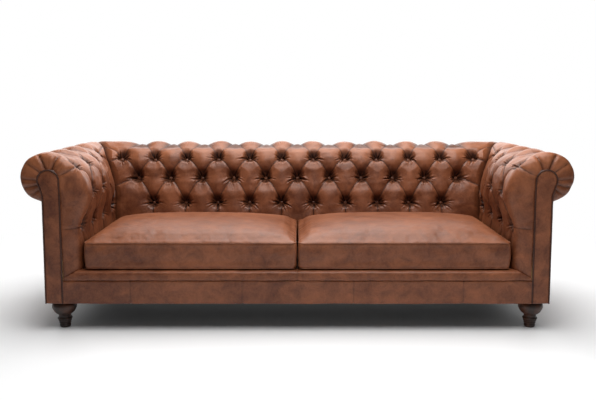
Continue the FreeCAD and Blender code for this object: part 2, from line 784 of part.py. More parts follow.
def make_arm_pad(name, side):
    line = CrownLine(1)
    front = -size("half_depth") + size("facing_thick") + 2
    pitch = size("button_pitch_arm")
    odd = [size("arm_first_button_y") + number * pitch for number in range(4)]
    even = [y + pitch / 2 for y in odd[:-1]]

    def across(y):
        return lambda a, z: V(side * (ROLL_X - a), y, z)

    sections = []
    for distance, fullness in ARM_FRONT:
        sections.append(pad_section("odd", line, across(front + distance), fullness))
    for y, kind in seat_stations(odd, even):
        sections.append(pad_section(kind, line, across(y)))
    sections.append(
        pad_section(
            "plain", line, lambda a, z: V(side * (ROLL_X - a), ROLL_Y - a - GAP / 2, z)
        )
    )
    feature(f"arm_pad_{name}", solid_loft(sections))
    buttons = []
    for y in odd:
        buttons += buttons_in_section(line, across(y), (ROW_1, ROW_3))
    for y in even:
        buttons += buttons_in_section(line, across(y), (ROW_0, ROW_2))
    feature(f"arm_buttons_{name}", Part.makeCompound(buttons))


# Sections of the back's pad where it turns into the corner: share of the way from the last
# straight section to the mitre, and kind.
CORNER_STATIONS = [(0.3, "middle"), (0.59, "odd top"), (0.79, "odd top"), (1, "plain")]
CORNER_BUTTON = 0.69


def make_back_pad():
    line = CrownLine(0)
    pitch = size("button_pitch_back")
    even = [number * pitch for number in range(-5, 6)]
    odd = [(number + 0.5) * pitch for number in range(-5, 5)]
    straight_end = even[-1] + SEAT_HALF

    def upright(x):
        return lambda a, z: V(x, ROLL_Y - a, z)

    def turned(side, share):
        def place(a, z):
            mitre_x = ROLL_X - a - GAP / 2
            return V(side * (straight_end + share * (mitre_x - straight_end)), ROLL_Y - a, z)
        return place

    def corner(side):
        return [
            pad_section(kind, CrownLine(share), turned(side, share))
            for share, kind in CORNER_STATIONS
        ]

    straight = [pad_section(kind, line, upright(x)) for x, kind in seat_stations(odd, even)]
    feature("back_pad", solid_loft(corner(-1)[::-1] + straight + corner(1)))
    buttons = []
    for x in odd:
        buttons += buttons_in_section(line, upright(x), (ROW_1, ROW_3))
    for x in even:
        buttons += buttons_in_section(line, upright(x), (ROW_0, ROW_2))
    buttons += [corner_button(turned, side) for _, side in SIDES]
    feature("back_buttons", Part.makeCompound(buttons))


# Seat cushions. Sections across a cushion: share of its width, share of the full crown, and how
# far the sides are drawn in.
CUSHION_STATIONS = [
    (0, 0.1, 9), (0.015, 0.2, 2.5), (0.05, 0.36, 0), (0.14, 0.64, 1.5), (0.3, 0.9, 4),
    (0.5, 1, 5), (0.7, 0.9, 4), (0.86, 0.64, 1.5), (0.95, 0.36, 0), (0.985, 0.2, 2.5),
    (1, 0.1, 9),
]


def cushion_body(side, inset):
    """A cushion's whole shape, or the same drawn in by inset all round."""
    inner = size("cushion_inner_x") + inset
    outer = size("cushion_outer_x") - inset
    low = size("cushion_bottom_z") + inset
    sections = []
    for share, crown, draw in CUSHION_STATIONS:
        x = side * (inner + share * (outer - inner))
        front = size("cushion_front_y") + draw + inset
        back = size("cushion_back_y") - draw - inset
        edge = size("cushion_edge_z") - inset
        back_edge = edge + 8 + 19 * crown
        peak = edge + 18 + (size("cushion_crown") - 18) * crown
        peak_y = front + 0.54 * (back - front)
        swell = 3 + 5 * crown
        corners = [V(x, front, low), V(x, front, edge), V(x, back, back_edge), V(x, back, low)]
        crests = [
            V(x, front - swell, (low + edge) / 2),
            V(x, peak_y, peak),
            V(x, back + swell * 0.5, (low + back_edge) / 2),
        ]
        edges = [
            Part.Arc(corners[number], crests[number], corners[number + 1]).toShape()
            for number in range(3)
        ]
        edges.append(Part.makeLine(corners[3], corners[0]))
        sections.append(Part.Wire(edges))
    return solid_loft(sections)


def make_cushions():
    for name, side in SIDES:
        cover = cushion_body(side, 0).cut(cushion_body(side, size("cover_thick")))
        feature(f"cushion_cover_{name}", cover)
        feature(f"cushion_foam_{name}", cushion_body(side, size("cover_thick") + 0.5))


def export_all():
    doc.recompute()
    for obj in doc.Objects:
        if "Invalid" in obj.State or "Error" in obj.State:
            raise RuntimeError(f"{obj.Name} ({obj.Label}) is not sound: {obj.State}")
    os.makedirs("parts", exist_ok=True)
    for obj in sub_parts:
        if obj.Shape.isNull() or not obj.Shape.isValid():
            raise RuntimeError(f"{obj.Label} has no valid shape")
        obj.Shape.exportStep(f"parts/{obj.Label}.step")


make_base_frame()
make_arm_and_back_frame()
make_webbing()
make_front_posts()
make_feet()
make_spring_deck()
make_covers()
for name, side in SIDES:
    make_arm_pad(name, side)
make_back_pad()
make_cushions()
export_all()
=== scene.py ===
import json
import math

import bmesh
import bpy
import numpy as np
from mathutils import Matrix, Vector
from mathutils.bvhtree import BVHTree
from mathutils.kdtree import KDTree


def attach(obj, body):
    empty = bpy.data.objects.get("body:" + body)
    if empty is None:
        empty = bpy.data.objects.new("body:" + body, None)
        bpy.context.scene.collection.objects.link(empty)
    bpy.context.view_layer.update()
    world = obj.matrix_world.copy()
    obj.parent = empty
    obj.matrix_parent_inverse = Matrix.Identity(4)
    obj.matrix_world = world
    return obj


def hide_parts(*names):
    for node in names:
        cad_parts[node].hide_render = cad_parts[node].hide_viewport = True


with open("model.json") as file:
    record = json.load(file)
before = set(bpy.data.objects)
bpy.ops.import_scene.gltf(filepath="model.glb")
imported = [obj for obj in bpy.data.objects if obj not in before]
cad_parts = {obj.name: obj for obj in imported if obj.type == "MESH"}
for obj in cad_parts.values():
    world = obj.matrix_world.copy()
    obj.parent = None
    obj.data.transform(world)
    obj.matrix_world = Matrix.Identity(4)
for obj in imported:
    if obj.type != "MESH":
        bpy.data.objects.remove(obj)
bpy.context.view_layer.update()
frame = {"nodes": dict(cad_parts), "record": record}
nodes = frame["nodes"]

# The same driving sizes as the frame's, in metres. +X runs across, +Y to the back and +Z up.
ROLL_X = 1.092
ROLL_Y = 0.372
ROLL_Z = 0.680
ROLL_R = 0.108
DECK_Z = 0.273
POST_OUTER_X = 1.095
POST_INNER_X = 1.025
HEAD_RADIUS = 0.044
HEAD_Z = 0.670
MIRROR = Matrix.Diagonal((-1, 1, 1, 1))


# Meshes from arrays

def new_object(name, data):
    made = bpy.data.objects.new(name, data)
    bpy.context.scene.collection.objects.link(made)
    return made


def new_piece(name, vertices, groups, material, body="frame", smooth=True):
    """A mesh piece that rides on a body of the frame. Each group of faces is an array of corner
    numbers, one face to a row."""
    mesh = bpy.data.meshes.new(name)
    points = np.ascontiguousarray(np.asarray(vertices, np.float32).reshape(-1, 3))
    groups = [np.atleast_2d(np.asarray(group, np.int32)) for group in groups]
    corners = np.concatenate([group.ravel() for group in groups])
    sizes = np.concatenate([np.full(len(group), group.shape[1], np.int32) for group in groups])
    mesh.vertices.add(len(points))
    mesh.vertices.foreach_set("co", points.ravel())
    mesh.loops.add(len(corners))
    mesh.loops.foreach_set("vertex_index", corners)
    mesh.polygons.add(len(sizes))
    mesh.polygons.foreach_set("loop_start", np.concatenate([[0], np.cumsum(sizes)[:-1]]))
    mesh.polygons.foreach_set("use_smooth", np.full(len(sizes), smooth))
    mesh.update(calc_edges=True)
    mesh.validate()
    mesh.materials.append(material)
    made = new_object(name, mesh)
    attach(made, body)
    return made


def grid_faces(rows, columns, wrap_rows=False, wrap_columns=False, first=0):
    """Four-cornered faces of a grid of points, numbered row by row."""
    index = first + np.arange(rows * columns).reshape(rows, columns)
    if wrap_rows:
        index = np.vstack([index, index[:1]])
    if wrap_columns:
        index = np.hstack([index, index[:, :1]])
    quads = np.stack([index[:-1, :-1], index[:-1, 1:], index[1:, 1:], index[1:, :-1]], axis=-1)
    return quads.reshape(-1, 4)


def add_number(piece, name, values):
    """A number for each point of a piece, which its material can read."""
    layer = piece.data.attributes.new(name, "FLOAT", "POINT")
    layer.data.foreach_set("value", np.asarray(values, np.float32).ravel())


def outward(piece):
    """Turns every face of a closed piece to the outside."""
    work = bmesh.new()
    work.from_mesh(piece.data)
    bmesh.ops.recalc_face_normals(work, faces=work.faces)
    work.to_mesh(piece.data)
    work.free()


def stand_for(node):
    """Lets a piece take the place of a node of the frame."""
    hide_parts(node)


def slab_faces(rows, columns):
    """Faces of a grid, of its copy behind it and of the rim between them."""
    front = grid_faces(rows, columns)
    index = np.arange(rows * columns).reshape(rows, columns)
    rim = np.concatenate([index[0], index[1:, -1], index[-1, -2::-1], index[-2:0:-1, 0]])
    after = np.roll(rim, -1)
    behind = rows * columns
    side = np.stack([rim, after, after + behind, rim + behind], axis=-1)
    return [front, front[:, ::-1] + behind, side]


def tube_faces(count, around, closed=False):
    """Faces of a run of rings, with both ends shut unless the run closes on itself."""
    faces = [grid_faces(count, around, wrap_rows=closed, wrap_columns=True)]
    if not closed:
        faces.append(np.arange(around)[::-1])
        faces.append(np.arange(around) + (count - 1) * around)
    return faces


def unit(vectors):
    """Vectors brought to a length of 1."""
    return vectors / np.maximum(np.linalg.norm(vectors, axis=-1, keepdims=True), 1e-12)


def smoothstep(low, high, value):
    share = np.clip((value - low) / (high - low), 0, 1)
    return share * share * (3 - 2 * share)


# Materials

def add_node(tree, kind, output, inputs, **settings):
    """An output of a new node. inputs holds the value or the source of some of its inputs."""
    made = tree.nodes.new(kind)
    for key, value in settings.items():
        setattr(made, key, value)
    for key, value in inputs.items():
        if isinstance(value, bpy.types.NodeSocket):
            tree.links.new(value, made.inputs[key])
        else:
            made.inputs[key].default_value = value
    return None if output is None else made.outputs[output]


class Recipe:
    """A node material that is put together step by step."""

    def __init__(self, name):
        self.material = bpy.data.materials.new(name)
        self.material.use_nodes = True
        self.tree = self.material.node_tree
        self.tree.nodes.clear()
        self.place = self.add("ShaderNodeTexCoord", "Object", {})

    def add(self, kind, output, inputs, **settings):
        return add_node(self.tree, kind, output, inputs, **settings)

    def math(self, operation, *values):
        return self.add("ShaderNodeMath", 0, dict(enumerate(values)), operation=operation)

    def scaled(self, scale):
        """The place, stretched by one scale for each direction."""
        return self.add("ShaderNodeMapping", 0, {"Vector": self.place, "Scale": scale})

    def noise(self, scale, detail=4.0, roughness=0.55, distortion=0.0, vector=None):
        return self.add("ShaderNodeTexNoise", "Fac", {
            "Vector": vector or self.place, "Scale": scale, "Detail": detail,
            "Roughness": roughness, "Distortion": distortion,
        })

    def cells(self, scale, feature="F1"):
        inputs = {"Vector": self.place, "Scale": scale}
        return self.add("ShaderNodeTexVoronoi", "Distance", inputs, feature=feature)

    def between(self, value, low, high, to_low=0.0, to_high=1.0):
        return self.add("ShaderNodeMapRange", "Result", {
            "Value": value, "From Min": low, "From Max": high, "To Min": to_low, "To Max": to_high,
        }, interpolation_type="SMOOTHSTEP")

    def mix(self, share, first, second):
        inputs = {"Factor": share, "A": first, "B": second}
        return self.add("ShaderNodeMix", "Result", inputs, data_type="RGBA")

    def blend(self, colour, other, value, low, high, to_low=0.0, to_high=1.0):
        """A colour that goes over into another as a value goes from low to high."""
        return self.mix(self.between(value, low, high, to_low, to_high), colour, other)

    def read(self, name, output="Fac"):
        """A number or a vector of the points."""
        return self.add("ShaderNodeAttribute", output, {}, attribute_name=name)

    def bump(self, height, distance, strength, before=None):
        inputs = {"Height": height, "Distance": distance, "Strength": strength}
        if before is not None:
            inputs["Normal"] = before
        return self.add("ShaderNodeBump", "Normal", inputs)

    def surface(self, colour, roughness, normal=None, specular=0.5, **more):
        inputs = {"Base Color": colour, "Roughness": roughness, "Specular IOR Level": specular}
        if normal is not None:
            inputs["Normal"] = normal
        return self.add("ShaderNodeBsdfPrincipled", "BSDF", {**inputs, **more})

    def finish(self, surface):
        self.add("ShaderNodeOutputMaterial", None, {"Surface": surface})
        return self.material


def rgb(red, green, blue):
    """A colour given as it looks on a screen, 0 to 255, as the linear values that shaders use."""
    linear = []
    for value in (red, green, blue):
        share = value / 255
        linear.append(share / 12.92 if share <= 0.04045 else ((share + 0.055) / 1.055) ** 2.4)
    return (*linear, 1.0)


LEATHER_DARK = rgb(66, 28, 12)
LEATHER_BASE = rgb(104, 53, 28)
LEATHER_LIGHT = rgb(156, 94, 60)
LEATHER_SHADE = rgb(38, 15, 8)


def leather(name, tufted=False, wear_and_highlight=False, seams=False, painted_shade=0.0):
    """Waxed brown hide: cloudy colour, a painted highlight where it faces up, painted shade in the
    pits, creases and folds, paler where it is stretched and worn with a painted highlight on the
    pads' up-facing pillow tops, with a fine pebbled grain, pores and small wrinkles. painted_shade
    darkens the whole hide, as painted shade for welts and buttons."""
    made = Recipe(name)
    clouds = made.noise(3.4, 4.0, 0.55, 0.3)
    patches = made.noise(15.0, 7.0, 0.66, 0.5)
    specks = made.noise(120.0, 4.0, 0.7)
    tone = made.math("MULTIPLY_ADD", patches, 0.6, made.math("MULTIPLY", clouds, 0.4))
    tone = made.math("MULTIPLY_ADD", specks, 0.3, tone)
    colour = made.blend(LEATHER_DARK, LEATHER_LIGHT, tone, 0.43, 0.87)
    colour = made.mix(0.28, colour, LEATHER_BASE)
    colour = made.blend(colour, LEATHER_DARK, specks, 0.54, 0.74, 0.0, 0.38)
    # painted highlight: paler where the surface faces up, as the light falls from above
    normal = made.add("ShaderNodeNewGeometry", "Normal", {})
    upward = made.add("ShaderNodeSeparateXYZ", "Z", {0: normal})
    colour = made.blend(colour, LEATHER_LIGHT, upward, 0.20, 0.85, 0.0, 0.26)
    # wear and painted highlight: patchily paler where worn_and_lit says; on the pads a painted
    # highlight on up-facing pillow tops, on the cushions wear along the seams
    if wear_and_highlight:
        worn_and_lit = made.between(patches, 0.34, 0.60, 0.45, 1.0)
        worn_and_lit = made.math("MULTIPLY", made.read("worn_and_lit"), worn_and_lit)
        colour = made.mix(worn_and_lit, colour, LEATHER_LIGHT)
    # painted shade: the whole hide darkened towards LEATHER_SHADE, for welts in their grooves and
    # buttons in their pits
    if painted_shade:
        colour = made.mix(painted_shade, colour, LEATHER_SHADE)
    if tufted:
        # painted shade in the pits and hollows, by how deep the pad is sunk
        shade = made.math("MULTIPLY", made.between(made.read("sunk"), 0.10, 0.74), 0.84)
        colour = made.mix(shade, colour, LEATHER_SHADE)
        # painted shade in the gathers' valleys and painted highlight on their raised banks
        crinkle = made.read("crinkle")
        colour = made.blend(colour, LEATHER_SHADE, crinkle, 0.0004, 0.0034, 0.0, 0.62)
        colour = made.blend(colour, LEATHER_LIGHT, crinkle, -0.0016, 0.0, 0.20, 0.0)
    if tufted or seams:
        # painted shade: a dark line and halo along the pleats' folds and the mitre crease; on sewn
        # seams a dark joint line with a halo of painted shade in its groove
        fold = made.read("fold")
        line, halo = (0.62, 0.26) if tufted else (0.38, 0.10)
        colour = made.blend(colour, LEATHER_SHADE, fold, 0.0, 0.0030, line, 0.0)
        colour = made.blend(colour, LEATHER_SHADE, fold, 0.001, 0.008, halo, 0.0)
    pores = made.cells(1150.0)
    grain = made.cells(620.0, "SMOOTH_F1")
    creases = made.noise(240.0, 3.0, 0.6, 1.6)
    height = made.math("MULTIPLY_ADD", grain, 0.6, made.math("MULTIPLY", pores, 0.25))
    height = made.math("MULTIPLY_ADD", creases, 0.5, height)
    normal = made.bump(height, 0.00030, 0.5)
    ripples = made.noise(34.0, 4.0, 0.6, 1.0)
    normal = made.bump(ripples, 0.0022, 0.5, normal)
    if tufted:
        fan = made.noise(1.0, 2.0, 0.5, 0.0, made.read("fan", "Vector"))
        folded = made.math("MULTIPLY", fan, made.read("gather"))
        normal = made.bump(folded, 0.007, 0.8, normal)
    roughness = made.math("MULTIPLY_ADD", patches, 0.20, 0.34)
    return made.finish(made.surface(colour, roughness, normal, 0.38))


def wood(name, dark, light, stretch, roughness, coat=0.0):
    """Wood with rings and fibres that run along the direction with the smallest stretch."""
    made = Recipe(name)
    place = made.scaled(stretch)
    rings = made.noise(9.0, 5.0, 0.6, 1.5, place)
    fibres = made.noise(70.0, 4.0, 0.65, 0.3, place)
    colour = made.blend(dark, light, rings, 0.35, 0.65)
    colour = made.blend(colour, dark, fibres, 0.5, 0.75, 0.0, 0.45)
    normal = made.bump(fibres, 0.0004, 0.4)
    rough = made.math("MULTIPLY_ADD", fibres, 0.15, roughness - 0.08)
    varnish = {"Coat Weight": coat, "Coat Roughness": 0.18}
    return made.finish(made.surface(colour, rough, normal, **varnish))


def woven(name, dark, light, threads):
    """Cloth of crossed threads, so many to the metre."""
    made = Recipe(name)
    waves = [
        made.add("ShaderNodeTexWave", "Fac", {
            "Vector": made.place, "Scale": threads / 3.2, "Distortion": 0.6,
        }, bands_direction=direction)
        for direction in "XYZ"
    ]
    weave = made.math("MULTIPLY", waves[0], waves[1])
    weave = made.math("MULTIPLY_ADD", waves[2], 0.5, weave)
    fluff = made.noise(30.0, 4.0)
    tone = made.math("MULTIPLY_ADD", fluff, 0.5, made.math("MULTIPLY", weave, 0.5))
    colour = made.blend(dark, light, tone, 0.2, 0.8)
    return made.finish(made.surface(colour, 0.85, made.bump(weave, 0.0006, 0.6), 0.25))


def metal(name, colour, roughness):
    made = Recipe(name)
    scratches = made.noise(160.0, 3.0, 0.6, 0.0, made.scaled((1, 1, 0.08)))
    stains = made.noise(22.0, 4.0)
    tone = made.blend(colour, rgb(70, 66, 62), stains, 0.4, 0.7, 0.0, 0.5)
    rough = made.math("MULTIPLY_ADD", scratches, 0.25, roughness)
    normal = made.bump(scratches, 0.0001, 0.4)
    return made.finish(made.surface(tone, rough, normal, Metallic=1.0))


def foam(name):
    made = Recipe(name)
    bubbles = made.cells(260.0)
    clouds = made.noise(12.0, 4.0)
    colour = made.blend(rgb(214, 200, 158), rgb(236, 226, 190), clouds, 0.35, 0.65)
    return made.finish(made.surface(colour, 0.9, made.bump(bubbles, 0.0012, 0.6), 0.2))


TUFTED = leather("tufted_leather", tufted=True, wear_and_highlight=True)
SMOOTH = leather("cover_leather")
SEAMED = leather("sewn_cover_leather", seams=True)
SEAT = leather("cushion_leather", wear_and_highlight=True, seams=True)
# Welts and buttons: leather with painted shade, as they lie in grooves and pits.
SHADED_WELT = leather("welt_leather_painted_shade", painted_shade=0.80)
PIPING = leather("piping_leather")
SHADED_BUTTON = leather("button_leather", painted_shade=0.25)
FOOT_WOOD = wood("foot_wood", rgb(34, 17, 9), rgb(84, 45, 25), (1, 1, 0.12), 0.44, 0.05)
FRAME_WOOD = wood("frame_wood", rgb(150, 112, 72), rgb(196, 158, 112), (0.15, 1, 1), 0.65)
SPRING_STEEL = metal("spring_steel", rgb(120, 120, 122), 0.35)
PLATED_STEEL = metal("plated_steel", rgb(176, 172, 160), 0.28)
WEBBING = woven("jute_webbing", rgb(110, 82, 50), rgb(168, 134, 88), 420)
HESSIAN = woven("hessian", rgb(116, 90, 58), rgb(176, 146, 100), 500)
DECK_CLOTH = woven("deck_cloth", rgb(44, 27, 20), rgb(74, 48, 36), 900)
DUST_CLOTH = woven("dust_cloth", rgb(14, 14, 15), rgb(34, 34, 36), 700)
FOAM = foam("foam")


# The crown line of the pads: its two coordinates are a, counted from the roll's centre line
# towards the seat, and z. Point number n of a list is at place n along the line.
ROLL_TURNS = np.radians([-96.4, -135, -180, -225, -270])
ARM_CROWN = [
    (0.060, 0.775), (0.110, 0.752), (0.150, 0.715), (0.171, 0.665), (0.184, 0.607),
    (0.171, 0.540), (0.151, 0.460), (0.144, 0.395), (0.143, DECK_Z),
]
BACK_CROWN = [
    (0.060, 0.772), (0.100, 0.750), (0.135, 0.712), (0.154, 0.662), (0.169, 0.607),
    (0.188, 0.540), (0.204, 0.478), (0.213, 0.400), (0.220, DECK_Z),
]
# The arm's a where it meets the back: it is thinner there, above all near its top.
CORNER_A = [0.052, 0.074, 0.093, 0.113, 0.131, 0.145, 0.147, 0.145, 0.143]
# The places of the four rows of buttons on the crown line of the back and of the arms.
BACK_ROWS = (3, 7, 9, 11)
ARM_ROWS = (3, 6.5, 9, 11)
LAST = 13


def crown_points(crest):
    roll = np.stack(
        [ROLL_R * np.cos(ROLL_TURNS), ROLL_Z + ROLL_R * np.sin(ROLL_TURNS)], axis=1
    )
    return np.vstack([roll, np.array(crest)])


def spline(values, where):
    """A smooth curve through values at 0, 1, 2 and so on, and its slope."""
    count = len(values)
    matrix = np.eye(count)
    right = np.zeros_like(values)
    for i in range(1, count - 1):
        matrix[i, i - 1:i + 2] = 1, 4, 1
        right[i] = 6 * (values[i - 1] - 2 * values[i] + values[i + 1])
    bend = np.linalg.solve(matrix, right)
    k = np.clip(np.floor(where).astype(int), 0, count - 2)
    t = (where - k)[..., None]
    u = 1 - t
    point = u * values[k] + t * values[k + 1]
    point = point + (u ** 3 - u) * bend[k] / 6 + (t ** 3 - t) * bend[k + 1] / 6
    slope = values[k + 1] - values[k]
    slope = slope + (1 - 3 * u ** 2) * bend[k] / 6 + (3 * t ** 2 - 1) * bend[k + 1] / 6
    return point, slope


ARM_LINE = crown_points(ARM_CROWN)
BACK_LINE = crown_points(BACK_CROWN)
CORNER_LINE = crown_points([(a, z) for a, (_, z) in zip(CORNER_A, ARM_CROWN)])


POST_GAP = 0.0015
NECK_FROM, NECK_TO = 234, 262  # the turns round the post's head between which its neck lies


def head_outline(a, z):
    """The nearest point of the front post's outline to a point of the crown line."""
    head_a = ROLL_X - POST_INNER_X - HEAD_RADIUS
    reach = HEAD_RADIUS + POST_GAP
    angle = np.degrees(np.arctan2(z - HEAD_Z, a - head_a)) % 360
    far = np.hypot(a - head_a, z - HEAD_Z)
    round_a = head_a + (a - head_a) / far * reach
    round_z = HEAD_Z + (z - HEAD_Z) / far * reach
    neck = (angle > NECK_FROM) & (angle < NECK_TO)
    neck_a = ROLL_X - POST_OUTER_X - POST_GAP
    neck_z = 0.634 - 0.058 * (angle - NECK_FROM) / 16
    front = (z < HEAD_Z) & (a > head_a) & ~neck
    low = np.clip((0.40 - z) / (0.40 - DECK_Z), 0, 1)
    near_a = np.where(neck, neck_a, np.where(front, head_a + reach, round_a))
    near_z = np.where(neck, neck_z, np.where(front, z - 0.037 * low, round_z))
    return near_a, near_z


# Where a pad's surface lies. Every shape function takes along, the place along the pad in metres,
# and a and z. The back's runs from -BACK_END to BACK_END, an arm's from ARM_FRONT_END, under the
# facing, to ARM_BACK_END at the mitre.
BACK_PITCH = 0.168
BACK_STRAIGHT = 5 * BACK_PITCH + 0.011
BACK_LAST = 5.5 * BACK_PITCH
CORNER_RUN = (BACK_LAST - BACK_STRAIGHT) / 0.45
BACK_END = BACK_STRAIGHT + CORNER_RUN
ARM_PITCH = 0.175
ARM_FIRST = -0.406
ARM_LAST = ARM_FIRST + 3 * ARM_PITCH
ARM_STRAIGHT = ARM_LAST + 0.011
ARM_RUN = 0.102
ARM_BACK_END = ARM_STRAIGHT + ARM_RUN
FRONT_EDGE = -0.436
FRONT_DEEP = 0.034
FRONT_ARC = 0.084
ARM_FRONT_END = FRONT_EDGE - FRONT_ARC
SEAT_SIDE_ARC = 0.020
ARM_THINS_FROM = -0.16


def corner_lean(where):
    """How much further from its roll the arm's crown line is at the corner than the back's."""
    corner, _ = spline(CORNER_LINE, where)
    back, _ = spline(BACK_LINE, where)
    return corner[..., 0] - back[..., 0]


def pad_line(line, corner, share, where):
    """a and z of a pad's crown line, blended towards its line at the mitre, and the way in."""
    point, slope = spline(line, where)
    far, far_slope = spline(corner, where)
    point = point + share[..., None] * (far - point)
    slope = slope + share[..., None] * (far_slope - slope)
    slope = unit(slope)
    return point, np.stack([slope[..., 1], -slope[..., 0]], axis=-1)


MITRE_Z = (ARM_LINE[:, 1] + BACK_LINE[:, 1]) / 2
BACK_MITRE = np.stack([BACK_LINE[:, 0], MITRE_Z], axis=1)
ARM_MITRE = np.stack([CORNER_LINE[:, 0], MITRE_Z], axis=1)


def back_section(along, where):
    share = smoothstep(BACK_STRAIGHT, BACK_END, np.abs(along))
    return pad_line(BACK_LINE, BACK_MITRE, share, where)


def arm_section(along, where):
    share = smoothstep(ARM_THINS_FROM, ARM_BACK_END, along)
    return pad_line(ARM_LINE, ARM_MITRE, share, where)


def back_place(along, a, z, lean=0.0):
    far = np.abs(along)
    share = np.clip((far - BACK_STRAIGHT) / CORNER_RUN, 0, 1)
    turned = BACK_STRAIGHT + share * (ROLL_X - a - lean - BACK_STRAIGHT)
    x = np.sign(along) * np.where(share > 0, turned, far)
    return np.stack([x, ROLL_Y - a, z], axis=-1)


def arm_place(along, a, z, lean=0.0):
    """The left arm; the right one is its mirror image."""
    turn = np.clip((FRONT_EDGE - along) / FRONT_ARC, 0, 1) * math.pi / 2
    fullness = np.cos(turn) ** 0.8
    softer = SEAT_SIDE_ARC * smoothstep(0.08, 0.16, a)
    near_a, near_z = head_outline(a, z)
    a = near_a + fullness * (a - near_a)
    z = near_z + fullness * (z - near_z)
    share = np.clip((along - ARM_STRAIGHT) / ARM_RUN, 0, 1)
    y = np.maximum(along, FRONT_EDGE) - (FRONT_DEEP + softer) * np.sin(turn)
    y = y + softer * (1 - smoothstep(FRONT_EDGE, FRONT_EDGE + 0.10, along))
    mitre = ARM_STRAIGHT + share * (ROLL_Y - a + lean - ARM_STRAIGHT)
    return np.stack([a - ROLL_X, np.where(share > 0, mitre, y), z], axis=-1)


def dome(x):
    """How far a pleat has come down at a share x of its way across: first slowly, then steeply."""
    return 0.62 * x + 0.38 * x ** 3


def sweep(x):
    """The same for a pleat that comes over the crest: steep behind, then out to its button."""
    return x ** 0.78


def unevenness(points, seed, shortest, longest, count=16):
    """A gentle random swell, about -1 to 1, at points of the sofa."""
    random = np.random.default_rng(seed)
    total = np.zeros(points.shape[:-1])
    for _ in range(count):
        way = random.normal(size=3)
        way *= 2 * math.pi / (random.uniform(shortest, longest) * np.linalg.norm(way))
        total += np.sin(points @ way + random.uniform(0, 2 * math.pi))
    return total / math.sqrt(count / 2) * 0.6


# Numbers that the leather of a pad reads: far from any fold, the deepest a pad sinks, and the depth
# from which it gets neither wear nor painted highlight.
NO_FOLD = 0.02
DEEPEST = 0.036
UNWORN_UNLIT_DEPTH = 0.026
# How deep the buttons of each row sit, and how deep the crease is at some places down the mitre.
TUFT_DEPTHS = (0.032, 0.035, 0.038, 0.037)
MITRE_PLACES = (0, 2, 5, 7, 9, 13)
MITRE_DEPTHS = (0.0, 0.012, 0.022, 0.024, 0.024, 0.020)
# How many gathers run up and out of a button, and level out of it, for each row of buttons.
UPWARD_GATHERS = (12, 13, 12, 11)
LEVEL_GATHERS = (0, 3, 7, 10)


